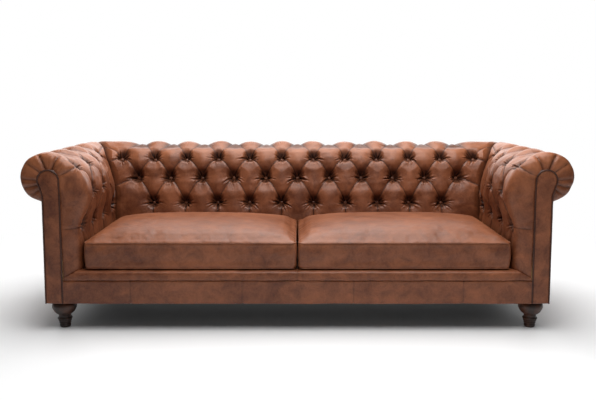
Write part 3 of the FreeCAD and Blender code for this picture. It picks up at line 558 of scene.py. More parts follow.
class Pad:
    """A deep-buttoned pad: a grid of points on its crown line, whose columns and rows pass through
    the buttons and whose diagonals follow the pleats, sunk where the buttons pull it in."""

    CELLS = 40  # columns in half a pitch, and rows between two rows of buttons
    ROLL_CELLS = 33  # rows under the roll, before the first row of buttons
    DECK_CELLS = 44  # rows below the last row of buttons
    SAMPLES = 36  # points of a pleat's line
    SEAT = 0.0088  # radius of the flat middle of a pit, under its button
    ABOVE, BELOW = 0.062, 0.036  # how far a pit's walls reach towards row 0 and the other ways
    BROAD = 0.090  # how far the shallow hollow round it reaches
    REACH = 0.125  # how far out its gathers are looked for

    def __init__(self, section, place, rows, pitch, first_odd, buttoned, seed):
        self.section = section
        self.place = place
        self.rows = rows
        self.pitch = pitch
        self.first_odd = first_odd
        self.buttoned = buttoned
        self.random = np.random.default_rng(seed)

    def lattice(self, columns):
        """Lays out the grid. columns holds the places along the pad."""
        cells, last = self.CELLS, self.rows[-1]
        counts = (self.ROLL_CELLS, cells, cells, cells, self.DECK_CELLS)
        self.band = np.repeat((-1, 0, 1, 2, -1), counts)
        self.where = np.empty((len(self.band), len(columns)))
        self.where[:counts[0]] = np.linspace(0, self.rows[0], counts[0] + 1)[:-1, None]
        self.where[-counts[-1]:] = np.linspace(last, LAST, counts[-1])[:, None]
        half = self.half_steps(columns)
        calm = smoothstep(0.0, 0.25, self.beyond(columns))
        for k in range(3):
            offset = np.clip(half if k % 2 == 0 else 1 - half, 1e-3, 1 - 1e-3)
            power = np.log((sweep if k == 0 else dome)(offset)) / np.log(offset)
            power = power + calm * (1 - power)
            bent = np.linspace(0, 1, cells + 1)[:-1, None] ** power
            self.where[self.band == k] = self.rows[k] + bent * (self.rows[k + 1] - self.rows[k])
        self.along = np.repeat(columns[None, :], len(self.where), axis=0)
        self.point, self.inward = self.section(self.along, self.where)
        self.lean = corner_lean(self.where)
        self.base = self.place(self.along, self.point[..., 0], self.point[..., 1], self.lean)
        shape = self.where.shape
        self.pleats, self.pits, self.crinkle, self.gather = np.zeros((4, *shape))
        self.fold = np.full(shape, NO_FOLD)
        self.fan = np.zeros(shape + (3,))
        self.nearest = np.ones(shape)

    def half_steps(self, columns):
        """0 in a column through rows 0 and 2, 1 in a column through rows 1 and 3."""
        step = (columns - self.first_odd) / self.pitch
        return 1 - np.abs((step + 0.5) % 1 - 0.5) * 2

    def beyond(self, columns):
        """How far a column lies past the last buttons, in pitches."""
        low, high = self.buttoned
        return np.maximum(0, np.maximum(low - columns, columns - high)) / self.pitch

    def at(self, along, where):
        """The points of the unsunk surface at some places."""
        along, where = np.broadcast_arrays(np.asarray(along, float), np.asarray(where, float))
        point, _ = self.section(along, where)
        return self.place(along, point[..., 0], point[..., 1], corner_lean(where))

    def window(self, points, reach):
        """Indices of the grid points within reach of the box round some points."""
        low = points.min(0) - reach
        high = points.max(0) + reach
        inside = np.all((self.base >= low) & (self.base <= high), axis=-1)
        return np.nonzero(inside)

    def pleat(self, start, stop, depths, upper, lower, bend=None, fold=1.0):
        """Sinks a pleat between two places. depths are those of its start, middle and end; upper
        and lower say how wide the leather curves down to it on the side of row 0 and of the deck.
        bend gives the way down at each share of it, and fold how clear its line of painted shade
        is, 0 for none."""
        share = np.linspace(0, 1, self.SAMPLES)
        down = bend(share) if bend else share
        along = start[0] + (stop[0] - start[0]) * share
        where = start[1] + (stop[1] - start[1]) * down
        line = self.at(along, where)
        rows, columns = self.window(line, max(upper, lower))
        near = self.base[rows, columns]
        begin, end = line[:-1], line[1:]
        run = end - begin
        length = np.maximum((run ** 2).sum(-1), 1e-12)
        t = np.einsum("pik,ik->pi", near[:, None, :] - begin[None], run) / length
        t = np.clip(t, 0, 1)
        foot = begin[None] + t[..., None] * run[None]
        far = np.linalg.norm(near[:, None, :] - foot, axis=-1)
        best = far.argmin(1)
        picked = np.arange(len(best))
        far = far[picked, best]
        part = (best + t[picked, best]) / (self.SAMPLES - 1)
        place_at = np.interp(part, share, where)
        side = self.where[rows, columns] > place_at
        upright = abs(stop[0] - start[0]) < 1e-6
        width = np.where(side & (not upright), lower, upper)
        towards_end = np.where(part < 0.5, depths[0], depths[2])
        deep = depths[1] + (towards_end - depths[1]) * np.abs(1 - part / 0.5) ** 2.2
        q = np.clip(1 - far / width, 0, 1)
        rounded = 1 - np.sqrt(1 - q ** 2 * 0.9999)
        hollow = q ** 1.8
        sunk = deep * np.where(side, 0.65 * rounded + 0.35 * hollow, hollow)
        self.pleats[rows, columns] = np.maximum(self.pleats[rows, columns], sunk)
        # the line of painted shade along the pleat
        if fold:
            ends = smoothstep(0, 0.1, part) * smoothstep(0, 0.1, 1 - part)
            mark = far + (1 - ends * fold) * 0.004
            self.fold[rows, columns] = np.minimum(self.fold[rows, columns], mark)

    def pit(self, along, where, deep, broad):
        """Sinks the pit round a button and notes which way its gathers run. broad is the depth of
        its shallow outer hollow, as a share of deep."""
        middle = self.at(along, where)[None]
        rows, columns = self.window(middle, self.REACH)
        near = self.base[rows, columns] - middle
        step = 0.002
        across = unit(self.at(along + step, where) - self.at(along - step, where))
        down = self.at(along, where + 0.05) - self.at(along, where - 0.05)
        down = unit(down - across * (down @ across))
        u, v = near @ across, near @ down
        far = np.linalg.norm(near, axis=-1)
        angle = np.arctan2(v, u)
        longer = np.where(v < 0, np.sin(angle) ** 2, 0)
        size = self.BELOW + (self.ABOVE - self.BELOW) * longer
        q = np.clip(1 - (far - self.SEAT) / (size - self.SEAT), 0, 1)
        sunk = deep * (0.66 * q ** 2.0 + 0.34 * q)
        sunk += deep * broad * (1 - smoothstep(0.0, self.BROAD, far))
        self.pits[rows, columns] = np.maximum(self.pits[rows, columns], sunk)
        closer = far < self.nearest[rows, columns]
        turn = np.stack([np.cos(angle) * 2.6, np.sin(angle) * 2.6, far * 12], axis=-1)
        turn += self.random.uniform(0, 40, 3)
        self.fan[rows[closer], columns[closer]] = turn[closer]
        strength = smoothstep(0.006, 0.014, far) * (1 - smoothstep(0.022, self.ABOVE + 0.014, far))
        self.gather[rows[closer], columns[closer]] = strength[closer]
        self.nearest[rows[closer], columns[closer]] = far[closer]
        return u, v, far, angle, rows, columns

    def gathers(self, found, count, sideways):
        """Small folds that run out of a pit like the spokes of a fan."""
        u, v, far, angle, rows, columns = found
        ridge = np.zeros(len(far))
        upward = self.random.uniform(-math.pi, 0, count)
        level = np.where(self.random.random(sideways) < 0.5, 0, math.pi)
        level = level + self.random.normal(0.12, 0.22, sideways) * np.where(level > 1, -1, 1)
        anywhere = self.random.uniform(0, math.pi, count // 2)
        turns = np.concatenate([upward, level, anywhere])
        for number, turn in enumerate(turns):
            is_level = count <= number < count + sideways
            long = self.random.uniform(*((0.042, 0.078) if is_level else (0.026, 0.058)))
            wide = self.random.uniform(0.0020, 0.0042)
            deep = self.random.uniform(0.0018, 0.0046)
            sag = self.random.normal(2.0, 3.0) * (1 if math.cos(turn) > 0 else -1)
            bent = (angle - turn - sag * far + math.pi) % (2 * math.pi) - math.pi
            aside = far * np.sin(bent)
            ahead = np.cos(bent) > 0
            banks = np.exp(-((np.abs(aside) - 2.2 * wide) / wide) ** 2)
            shape = np.exp(-(aside / wide) ** 2) - 0.45 * banks
            fade = smoothstep(0.008, 0.014, far) * (1 - smoothstep(0.45 * long, long, far))
            ridge += deep * shape * fade * ahead
        self.crinkle[rows, columns] += ridge

    def sink_buttons(self, rows_of_buttons):
        """Pits and gathers of every button; keeps where each one sits."""
        self.seats = []
        for row, places in enumerate(rows_of_buttons):
            for along in places:
                found = self.pit(along, self.rows[row], TUFT_DEPTHS[row], 0.34 if row else 0.30)
                self.gathers(found, UPWARD_GATHERS[row], LEVEL_GATHERS[row])
                column = np.abs(self.along[0] - along).argmin()
                self.seats.append((self.ROLL_CELLS + row * self.CELLS, column))

    def scallop(self, deep, whole):
        """Lowers the crest between the upright columns of rows 1 and 3, and by whole all along."""
        phase = 2 * math.pi * (self.along - self.first_odd) / self.pitch
        level = smoothstep(1.4, 3.4, self.where) * (1 - smoothstep(4.9, 6.6, self.where))
        low, high = self.buttoned
        fade = self.pitch * 0.45
        inside = smoothstep(low - fade, low, self.along)
        inside = inside * (1 - smoothstep(high, high + fade, self.along))
        wave = deep * (0.35 + 0.65 * inside) * (0.5 - 0.5 * np.cos(phase))
        self.scallops = level * (wave + whole * inside)

    def mitre(self, end):
        """The crease along the mitre: the same on both pads that meet there."""
        far = end - (np.abs(self.along) if self.place is back_place else self.along)
        self.open_part = smoothstep(0.0, 0.020, far)
        crease = np.interp(self.where, MITRE_PLACES, MITRE_DEPTHS)
        self.crease = crease * np.clip(1 - far / 0.040, 0, 1) ** 1.7
        # a line of painted shade along the mitre crease
        self.fold = np.where(far < 0.02, np.minimum(self.fold, far * 0.9), self.fold)

    def surface(self, seed, face_normals=None):
        """The finished points."""
        joined = (self.pleats ** 3 + self.pits ** 3) ** (1 / 3) + self.scallops
        self.depth = np.maximum(joined * self.open_part, self.crease)
        uneven = unevenness(self.base, seed, 0.07, 0.22) * 0.0016
        uneven += unevenness(self.base, seed + 1, 0.02, 0.06) * 0.0005
        edges = smoothstep(0, 0.8, self.where) * (1 - smoothstep(12.4, 13, self.where))
        loose = (self.crinkle + uneven) * self.open_part * edges
        self.outer = self.base + self.into(face_normals) * (self.depth + loose)[..., None]
        return self.outer

    def seat_spots(self, mirror=1):
        """Middle and outward way of each button."""
        across = np.gradient(self.base, axis=1)
        down = np.gradient(self.base, axis=0)
        into = self.into()
        flip = np.array([mirror, 1, 1])
        spots = []
        for row, column in self.seats:
            normal = np.cross(across[row, column], down[row, column])
            if normal @ into[row, column] > 0:
                normal = -normal
            spots.append((self.outer[row, column] * flip, normal * flip))
        return spots

    def into(self, face_normals=None):
        """The way into the pad at each point: in its own section, or along the true normal where
        face_normals is 1."""
        step = 1e-4
        a, z = self.point[..., 0], self.point[..., 1]
        inner = self.place(
            self.along, a + self.inward[..., 0] * step, z + self.inward[..., 1] * step, self.lean
        )
        direction = unit(inner - self.base)
        if face_normals is None:
            return direction
        normal = unit(np.cross(np.gradient(self.base, axis=1), np.gradient(self.base, axis=0)))
        agree = np.sign((normal * direction).sum(-1).mean())
        return unit(direction + face_normals[..., None] * (normal * agree - direction))


def pad_inside():
    """The pad's inner edge in a section: from the deck up, over the top rail, to the tack line."""
    inner = ROLL_X - POST_INNER_X + 0.003
    outer = ROLL_X - POST_OUTER_X - 0.003
    head_a = ROLL_X - POST_INNER_X - HEAD_RADIUS
    reach = HEAD_RADIUS + 0.003
    return np.array([
        (inner, DECK_Z), (inner, HEAD_Z + 0.028), (inner - 0.020, HEAD_Z + reach + 0.001),
        (0.0, HEAD_Z + reach), (head_a - reach, HEAD_Z + 0.025), (head_a - reach, HEAD_Z - 0.025),
        (outer, HEAD_Z - 0.058), (outer, HEAD_Z - 0.092),
    ])


def close_pad(pad, outer, name):
    """A closed mesh from a pad's outer points and its inner edge, with its numbers."""
    inside = pad_inside()
    count = outer.shape[1]
    rings = [outer]
    for a, z in inside:
        rings.append(pad.place(pad.along[0], np.full(count, a), np.full(count, z))[None])
    points = np.concatenate(rings)
    rows = len(points)
    half = pad.half_steps(pad.along[0])
    rising = half[1:] > half[:-1]
    index = np.arange(rows * count).reshape(rows, count)
    after = np.roll(index, -1, axis=0)
    p, q, r, t = index[:, :-1], index[:, 1:], after[:, 1:], after[:, :-1]
    band = np.concatenate([pad.band, np.full(len(inside), -1)])
    plain = band < 0
    falling = np.where((band % 2 == 0)[:, None], rising[None], ~rising[None])
    falling = falling & ~plain[:, None]
    climbing = ~falling & ~plain[:, None]
    faces = [
        np.stack([p, q, r, t], -1)[plain].reshape(-1, 4),
        np.stack([p, q, r], -1)[falling], np.stack([p, r, t], -1)[falling],
        np.stack([p, q, t], -1)[climbing], np.stack([q, r, t], -1)[climbing],
        index[:, 0][::-1], index[:, -1],
    ]
    piece = new_piece(name, points, faces, TUFTED)
    # painted highlight and wear: paler on the pad's up-facing, unsunk pillow tops
    faces_up = smoothstep(0.05, 0.70, -pad.inward[..., 1])
    worn_and_lit = 0.90 * faces_up * np.clip(1 - pad.depth / UNWORN_UNLIT_DEPTH, 0, 1)
    # sunk, fold and crinkle give the leather its painted shade in pits, pleats and gathers
    numbers = {
        "sunk": (pad.depth / DEEPEST, 1), "fold": (pad.fold, NO_FOLD), "gather": (pad.gather, 0),
        "crinkle": (pad.crinkle, 0), "worn_and_lit": (worn_and_lit, 0),
    }
    hidden = (len(inside), count)
    for label, (values, inner) in numbers.items():
        add_number(piece, label, np.concatenate([values, np.full(hidden, inner)]))
    fan = np.concatenate([pad.fan, np.zeros(hidden + (3,))]).astype(np.float32)
    layer = piece.data.attributes.new("fan", "FLOAT_VECTOR", "POINT")
    layer.data.foreach_set("vector", fan.ravel())
    return piece


BUTTON_RADIUS = 0.0102
BUTTON_RISE = 0.0022
BUTTON_SIDES = 22
# The profile from the top to the turned-under rim: across, as a share of the radius, and up.
BUTTON_PROFILE = [
    (0.0, 0.0050), (0.35, 0.0047), (0.65, 0.0038), (0.86, 0.0024), (0.97, 0.0009),
    (1.0, -0.0006), (0.93, -0.0016), (0.6, -0.0020), (0.0, -0.0020),
]


def button_cluster(name, spots):
    """Covered buttons: low domes with a turned-under rim, at (middle, outward) spots."""
    around, rings = BUTTON_SIDES, len(BUTTON_PROFILE) - 2
    vertices, triangles, quads = [], [], []
    for middle, outward_way in spots:
        way = unit(outward_way)
        middle = middle + way * BUTTON_RISE
        side = unit(np.cross(way, (0.3, 0.2, 1.0)))
        other = np.cross(way, side)
        first = len(vertices)
        for share, high in BUTTON_PROFILE:
            radius = share * BUTTON_RADIUS
            ring = 1 if share == 0 else around
            for step in range(ring):
                angle = 2 * math.pi * step / around
                spot = middle + way * high
                spot = spot + radius * (math.cos(angle) * side + math.sin(angle) * other)
                vertices.append(spot)
        last = first + 1 + rings * around
        for step in range(around):
            after = (step + 1) % around
            triangles.append((first, first + 1 + step, first + 1 + after))
            triangles.append((last - around + step, last, last - around + after))
        ring_faces = grid_faces(rings, around, wrap_columns=True, first=first + 1)
        quads.append(ring_faces[:, ::-1])
    return new_piece(name, vertices, [triangles, np.concatenate(quads)], SHADED_BUTTON)


def columns_between(start, stop, spacing):
    count = max(2, int(round((stop - start) / spacing)) + 1)
    return np.linspace(start, stop, count)


def diamonds(pad, tops, last_side, crest):
    """The pleats from the row 0 buttons down to row 3, whose columns reach out to last_side. crest
    is the depth of those that cross the crest."""
    top, upper, middle, lower = pad.rows
    for along in tops:
        pad.pleat((along, top), (along, 0), (0.018, 0.009, 0.004), 0.034, 0.034)
        for way in (-1, 1):
            side = along + way * pad.pitch / 2
            pad.pleat((along, top), (side, upper), (0.016, crest, 0.020), 0.040, 0.036, sweep)
            depths = (0.020, 0.0110, 0.022)
            pad.pleat((side, upper), (along, middle), depths, 0.046, 0.026, dome)
            if abs(side) < last_side:
                depths = (0.022, 0.0105, 0.022)
                pad.pleat((along, middle), (side, lower), depths, 0.044, 0.026, dome)


def pleats_to_mitre(pad, start, end):
    """The two pleats from the last button of row 1 to the mitre."""
    pad.pleat(start, (end, 7.6), (0.020, 0.012, 0.014), 0.030, 0.020)
    pad.pleat(start, (end, 5.2), (0.018, 0.008, 0.010), 0.026, 0.026)


def make_back():
    pad = Pad(
        back_section, back_place, BACK_ROWS, BACK_PITCH, -4.5 * BACK_PITCH,
        (-BACK_LAST, BACK_LAST), 7,
    )
    step = BACK_PITCH / 2 / Pad.CELLS
    inner = np.arange(-11 * Pad.CELLS, 11 * Pad.CELLS + 1) * step
    outer = columns_between(BACK_LAST, BACK_END, 0.0014)[1:]
    pad.lattice(np.concatenate([-outer[::-1], inner, outer]))
    odd = [(n + 0.5) * BACK_PITCH for n in range(-6, 6)]
    even = [n * BACK_PITCH for n in range(-5, 6)]
    third = odd[1:-1]
    diamonds(pad, even, 5 * BACK_PITCH, 0.0045)
    for along in third:
        pad.pleat((along, 11), (along, 13), (0.022, 0.013, 0.010), 0.030, 0.030)
    for way in (-1, 1):
        end = way * BACK_END
        pleats_to_mitre(pad, (way * BACK_LAST, 7), end)
        pad.pleat((way * 5 * BACK_PITCH, 9), (end, 9.7), (0.022, 0.012, 0.014), 0.034, 0.022)
    pad.sink_buttons((even, odd, even, third))
    pad.scallop(0.0135, 0.0045)
    pad.mitre(BACK_END)
    piece = close_pad(pad, pad.surface(5), "back_upholstery")
    buttons = button_cluster("back_button_set", pad.seat_spots())
    stand_for("back_pad")
    stand_for("back_buttons")


# Gathers round the front of an arm's roll, under the facing's welt: the place on the crown line,
# how far back over the edge each one starts, how deep it is and how far round it leans. The small
# ones have no line of painted shade.
ROLL_GATHERS = [
    (4.95, 0.020, 0.0125, 0.10), (3.86, 0.016, 0.0125, -0.26), (3.02, -0.004, 0.0050, -0.22),
    (1.92, -0.006, 0.0060, 0.05), (1.34, -0.004, 0.0085, 0.22), (0.76, -0.030, 0.0070, 0.16),
]
SMALL_GATHERS = [
    (5.62, -0.020, 0.0012, 0.1), (4.40, -0.026, 0.0014, 0.0), (3.42, -0.022, 0.0013, -0.1),
    (2.44, -0.016, 0.0016, -0.1), (2.16, -0.040, 0.0012, 0.0), (1.62, -0.030, 0.0012, 0.1),
    (0.36, -0.020, 0.0010, 0.1),
]


def make_arm(name, mirror, seed):
    pad = Pad(
        arm_section, arm_place, ARM_ROWS, ARM_PITCH, ARM_FIRST, (ARM_FIRST, ARM_LAST), seed
    )
    step = ARM_PITCH / 2 / Pad.CELLS
    inner = ARM_FIRST + np.arange(0, 6 * Pad.CELLS + 1) * step
    front = columns_between(ARM_FRONT_END, ARM_FIRST, 0.0020)[:-1]
    corner = columns_between(ARM_LAST, ARM_BACK_END, 0.0016)[1:]
    pad.lattice(np.concatenate([front, inner, corner]))
    odd = [ARM_FIRST + n * ARM_PITCH for n in range(4)]
    even = [along + ARM_PITCH / 2 for along in odd[:-1]]
    diamonds(pad, even, 9, 0.0065)
    for number, along in enumerate(odd):
        shift = 0.035 if number == 0 else 0.0
        pad.pleat((along, 11), (along + shift, 13), (0.022, 0.013, 0.010), 0.030, 0.030)
    front_end = ARM_FRONT_END
    upper = ARM_ROWS[1]
    pad.pleat((ARM_FIRST, upper), (front_end, 6.86), (0.020, 0.008, 0.003), 0.026, 0.020)
    pad.pleat((ARM_FIRST, 11), (front_end, 11.05), (0.020, 0.004, 0.001), 0.018, 0.016)
    pleats_to_mitre(pad, (ARM_LAST, upper), ARM_BACK_END)
    pad.pleat((ARM_LAST, 11), (ARM_BACK_END, 9.7), (0.022, 0.011, 0.014), 0.030, 0.022)
    for gathers, wide, fold in ((ROLL_GATHERS, 0.017, 0.9), (SMALL_GATHERS, 0.012, 0)):
        for where, back, depth, lean in gathers:
            stop = (FRONT_EDGE + back, where + lean)
            pad.pleat((front_end, where), stop, (depth, depth, 0.0), wide, wide, fold=fold)
    pad.sink_buttons((even, odd, even, odd))
    pad.scallop(0.0105, 0.0)
    pad.mitre(ARM_BACK_END)
    at_front = 1 - smoothstep(FRONT_EDGE - 0.012, FRONT_EDGE + 0.012, pad.along)
    piece = close_pad(pad, pad.surface(seed + 3, at_front), f"arm_upholstery_{name}")
    if mirror > 0:
        piece.data.transform(MIRROR)
    buttons = button_cluster(f"arm_button_set_{name}", pad.seat_spots(-mirror))
    outward(piece)
    outward(buttons)
    stand_for(f"arm_pad_{name}")
    stand_for(f"arm_buttons_{name}")


# Welts, facings, lip, border and outside covers

def turning(closed_path):
    """The way along a closed path at each of its points."""
    return np.roll(closed_path, -1, axis=0) - np.roll(closed_path, 1, axis=0)


def tube(name, path, radius, slack, seed=1, closed=False, body="frame", material=SHADED_WELT):
    """A piped edge: a round tube along a path of points. slack says how uneven its thickness is."""
    around = 10
    path = np.asarray(path, float)
    ahead = unit(turning(path) if closed else np.gradient(path, axis=0))
    side = np.zeros_like(ahead)
    guide = np.cross(ahead[0], (0.13, 0.31, 0.94))
    for i, way in enumerate(ahead):
        guide = unit(guide - way * (guide @ way))
        side[i] = guide
    other = np.cross(ahead, side)
    turn = np.linspace(0, 2 * math.pi, around, endpoint=False)
    thick = radius * (1 + slack * unevenness(path, seed, 0.015, 0.06))
    ring = np.cos(turn)[:, None] * side[:, None] + np.sin(turn)[:, None] * other[:, None]
    points = path[:, None] + ring * thick[:, None, None]
    piece = new_piece(name, points, tube_faces(len(path), around, closed), material, body)
    outward(piece)


def turned_edge(away, radius):
    """How far a cover has risen, 0 to 1, at a distance from its edge."""
    return np.sqrt(1 - (1 - np.clip(away / radius, 0, 1)) ** 2)


def sheet(name, front, back, material):
    """A closed sheet between two grids of points."""
    faces = slab_faces(*front.shape[:2])
    piece = new_piece(name, np.stack([front, back]), faces, material)
    outward(piece)
    return piece


def smooth_path(corners, spacing, closed=False):
    """Evenly spaced points along a polyline."""
    corners = np.asarray(corners, float)
    if closed:
        corners = np.vstack([corners, corners[:1]])
    run = np.concatenate([[0], np.cumsum(np.linalg.norm(np.diff(corners, axis=0), axis=1))])
    count = max(3, int(run[-1] / spacing))
    where = np.linspace(0, run[-1], count, endpoint=not closed)
    return np.stack([np.interp(where, run, corners[:, k]) for k in range(corners.shape[1])], axis=1)


FACING_A = 0.023
FACING_Z = 0.670
FACING_R = 0.0445
FACING_INNER = 0.0675
FACING_OUTER = -0.0035
FACING_BOTTOM = 0.1245
FACING_FRONT = -0.4690
FACING_BACK = -0.4665
NECK_LOW, NECK_HIGH = 0.600, 0.645
WELT_BESIDE = 0.0012
WELT_Y = -0.4758
SPREAD = 0.0085


def spread(z):
    """The arm fronts lean outwards a little towards the floor."""
    return SPREAD * np.clip((0.60 - z) / 0.475, 0, 1)


def facing_edges(z):
    """Outer and inner edge of a facing at a height."""
    above = np.clip((z - FACING_Z) / FACING_R, -1, 1)
    arc = FACING_R * np.sqrt(np.maximum(0, 1 - above ** 2))
    inner = np.where(z > FACING_Z, FACING_A + arc, FACING_INNER)
    neck = smoothstep(NECK_LOW, NECK_HIGH, z)
    throat = FACING_A - FACING_R * math.sqrt(1 - (0.025 / FACING_R) ** 2)
    under = FACING_OUTER + neck * (throat - FACING_OUTER)
    return np.where(z > NECK_HIGH, FACING_A - arc, under), inner


def make_facing(name, mirror):
    turns = np.linspace(0, math.pi / 2, 40)
    heights = np.concatenate([
        FACING_BOTTOM + 0.012 * (1 - np.cos(np.linspace(0, math.pi / 2, 10))),
        np.linspace(FACING_BOTTOM + 0.012, NECK_LOW, 90)[1:],
        np.linspace(NECK_LOW, FACING_Z, 24)[1:],
        FACING_Z + FACING_R * np.sin(turns)[1:] * 0.99995,
    ])
    across = np.sin(np.linspace(-1, 1, 41) * math.pi / 2)
    outer, inner = facing_edges(heights)
    middle, half = (outer + inner) / 2, (inner - outer) / 2
    a = middle[:, None] + half[:, None] * across[None, :]
    z = np.repeat(heights[:, None], len(across), axis=1)
    away = np.minimum(a - outer[:, None], inner[:, None] - a)
    head = FACING_R - np.hypot(a - FACING_A, z - FACING_Z)
    away = np.where(z > 0.652, np.minimum(away, head), away)
    away = np.minimum(away, z - FACING_BOTTOM)
    away = np.maximum(away, 0)
    swell = smoothstep(0, 0.034, away)
    y = FACING_FRONT - 0.0088 * turned_edge(away, 0.007) - 0.0022 * swell
    points = np.stack([mirror * (ROLL_X - a + spread(z)), y, z], axis=-1)
    points[..., 1] -= 0.0005 * unevenness(points, 11 if mirror < 0 else 13, 0.05, 0.2) * swell
    flat = points.copy()
    flat[..., 1] = FACING_BACK
    piece = sheet(f"facing_cover_{name}", points, flat, SMOOTH)
    stand_for(f"arm_facing_{name}")
    low = np.stack([np.full(60, FACING_INNER + WELT_BESIDE), np.linspace(0.126, FACING_Z, 60)], 1)
    turn = np.radians(np.linspace(0, 214, 90))[1:]
    round_head = np.stack([np.cos(turn), np.sin(turn)], 1) * (FACING_R + WELT_BESIDE)
    neck_z = np.linspace(0.640, 0.126, 70)
    neck = np.stack([facing_edges(neck_z)[0] - 0.0010, neck_z], 1)
    corners = np.vstack([low, round_head + (FACING_A, FACING_Z), neck])
    a, z = smooth_path(corners, 0.004).T
    path = np.stack([mirror * (ROLL_X - a + spread(z)), np.full(len(a), WELT_Y), z], axis=1)
    tube(f"facing_welt_{name}", path, 0.0036, 0.06, 17)


def swept_across(name, section, ends, seams, seed, puff):
    """A cover stretched across the front. section holds y and z round its outline, ends gives
    half the length at a height, seams the places of its sewn joints and puff how far the leather
    sinks in there."""
    outline = smooth_path(section, 0.003, closed=True)
    count = 700
    share = np.linspace(-1, 1, count)
    half = ends(outline[:, 1])
    x = share[:, None] * half[None, :]
    points = np.stack(np.broadcast_arrays(x, outline[:, 0], outline[:, 1]), axis=-1)
    tangent = turning(outline)
    normal = unit(np.stack([tangent[:, 1], -tangent[:, 0]], axis=1))
    normal *= np.sign((normal * (outline - outline.mean(0))).sum(1).mean())
    lift = 0.0007 * unevenness(points, seed, 0.05, 0.30)
    lift += 0.0003 * unevenness(points, seed + 1, 0.012, 0.05)
    fold = np.full(x.shape, NO_FOLD)
    for seam in seams:
        near = np.abs(x - seam)
        lift -= puff * np.exp(-(near / 0.0045) ** 2) * 1.6
        lift += puff * (1 - np.exp(-(near / 0.03) ** 2)) * 0.3
        fold = np.minimum(fold, near)
    points[..., 1:] += lift[..., None] * normal[None]
    piece = new_piece(name, points, tube_faces(count, len(outline)), SEAMED)
    outward(piece)
    # a dark joint line with painted shade in the seams' grooves, read by the leather
    add_number(piece, "fold", fold)
    return piece


def rounded(corners):
    """An outline of corners (y, z, size), each rounded off over its own size."""
    points = []
    for i, (y, z, size) in enumerate(corners):
        here = np.array((y, z))
        start = here + unit(np.array(corners[i - 1][:2]) - here) * size
        stop = here + unit(np.array(corners[(i + 1) % len(corners)][:2]) - here) * size
        for t in np.linspace(0, 1, 6):
            points.append((1 - t) ** 2 * start + 2 * t * (1 - t) * here + t ** 2 * stop)
    return points


def make_front():
    lip = rounded([
        (-0.4245, 0.2715, 0.003), (-0.4765, 0.2700, 0.016), (-0.4790, 0.2300, 0.009),
        (-0.4680, 0.2278, 0.003), (-0.4245, 0.2278, 0.002),
    ])
    piece = swept_across(
        "seat_lip", lip, lambda z: np.minimum(1.0235, 0.9560 + (0.2760 - z) * 1.93), (0,), 31,
        0.0014,
    )
    stand_for("front_lip")
    border = rounded([
        (-0.4675, 0.2262, 0.002), (-0.4745, 0.2262, 0.0035), (-0.4745, 0.1255, 0.004),
        (-0.4675, 0.1246, 0.002),
    ])
    piece = swept_across(
        "front_border_cover", border, lambda z: 1.0228 + spread(z), (-0.733, -0.243, 0.247, 0.729),
        41, 0.0011,
    )
    stand_for("front_border")


HIDE_THICK = 0.0008


def panel(name, corner, right, out, size, seed, node, seams=()):
    """A stretched outside cover: a thin puffed sheet with turned edges. It starts at a corner and
    runs to the right and up; seams are the places of its sewn joints."""
    corner, right, up, out = (np.array(v, float) for v in (corner, right, (0, 0, 1), out))
    wide, high = size
    columns, rows = int(wide / 0.008) + 2, int(high / 0.008) + 2
    u = 0.5 - 0.5 * np.cos(np.linspace(0, math.pi, columns))
    u = 0.5 * u + 0.5 * np.linspace(0, 1, columns)
    v = np.linspace(0, 1, rows)
    u, v = np.meshgrid(u, v)
    away = np.minimum(np.minimum(u, 1 - u) * wide, np.minimum(v, 1 - v) * high)
    points = corner + right * (u * wide)[..., None] + up * (v * high)[..., None]
    rise = 0.0020 * turned_edge(away, 0.006) + 0.0022 * smoothstep(0, 0.12, away)
    rise += 0.0010 * unevenness(points, seed, 0.10, 0.40) * smoothstep(0, 0.04, away)
    fold = np.full(u.shape, NO_FOLD)
    for seam in seams:
        near = np.abs(u * wide - seam)
        rise -= 0.0018 * np.exp(-(near / 0.005) ** 2)
        fold = np.minimum(fold, near)
    piece = sheet(name, points + out * rise[..., None], points - out * HIDE_THICK, SEAMED)
    # a dark joint line with painted shade in the seams' grooves, read by the leather
    add_number(piece, "fold", np.stack([fold, np.full(u.shape, NO_FOLD)]))
    stand_for(node)


def make_outside():
    for name, mirror in (("left", -1), ("right", 1)):
        panel(f"outside_arm_cover_{name}", (mirror * 1.0965, -0.4660, 0.1250), (0, 1, 0),
              (mirror, 0, 0), (0.8425, 0.4460), 51 + mirror, f"outside_arm_{name}")
        corner = [(mirror * 1.0975, 0.3785, 0.126), (mirror * 1.0975, 0.3785, 0.570)]
        tube(f"corner_welt_{name}", smooth_path(corner, 0.006), 0.0032, 0.08)
    panel("outside_back_cover", (1.0955, 0.3765, 0.1250), (-1, 0, 0), (0, 1, 0),
          (2.1910, 0.4460), 61, "outside_back", (0.7305, 1.4605))


# Seat cushions

CUSHION = {"x": (0.0015, 0.9400), "y": (-0.4600, 0.1370), "z": (0.2765, 0.4005)}
CUSHION_TOP = 0.4620
CUSHION_CROWN = 0.050
CUSHION_CORNER = 0.015
# The filling: size of the cover's cells, its push, the frames it works for, the most that a point
# moves, and how much of that it may move sideways.
VOXEL = 0.0082
PRESSURE = 4.0
FRAMES = 16
CUSHION_CAP = 0.022
SIDE_GIVE = 0.40
RIM_LIFT = 0.003
ON_DECK = DECK_Z + 0.0005
MIDDLE_GAP = 0.0012


def at_height(flat, height):
    """Points (x, y) with a height, one for all of them or one for each."""
    height = np.broadcast_to(height, flat.shape[:-1])
    return np.concatenate([flat, height[..., None]], axis=-1)


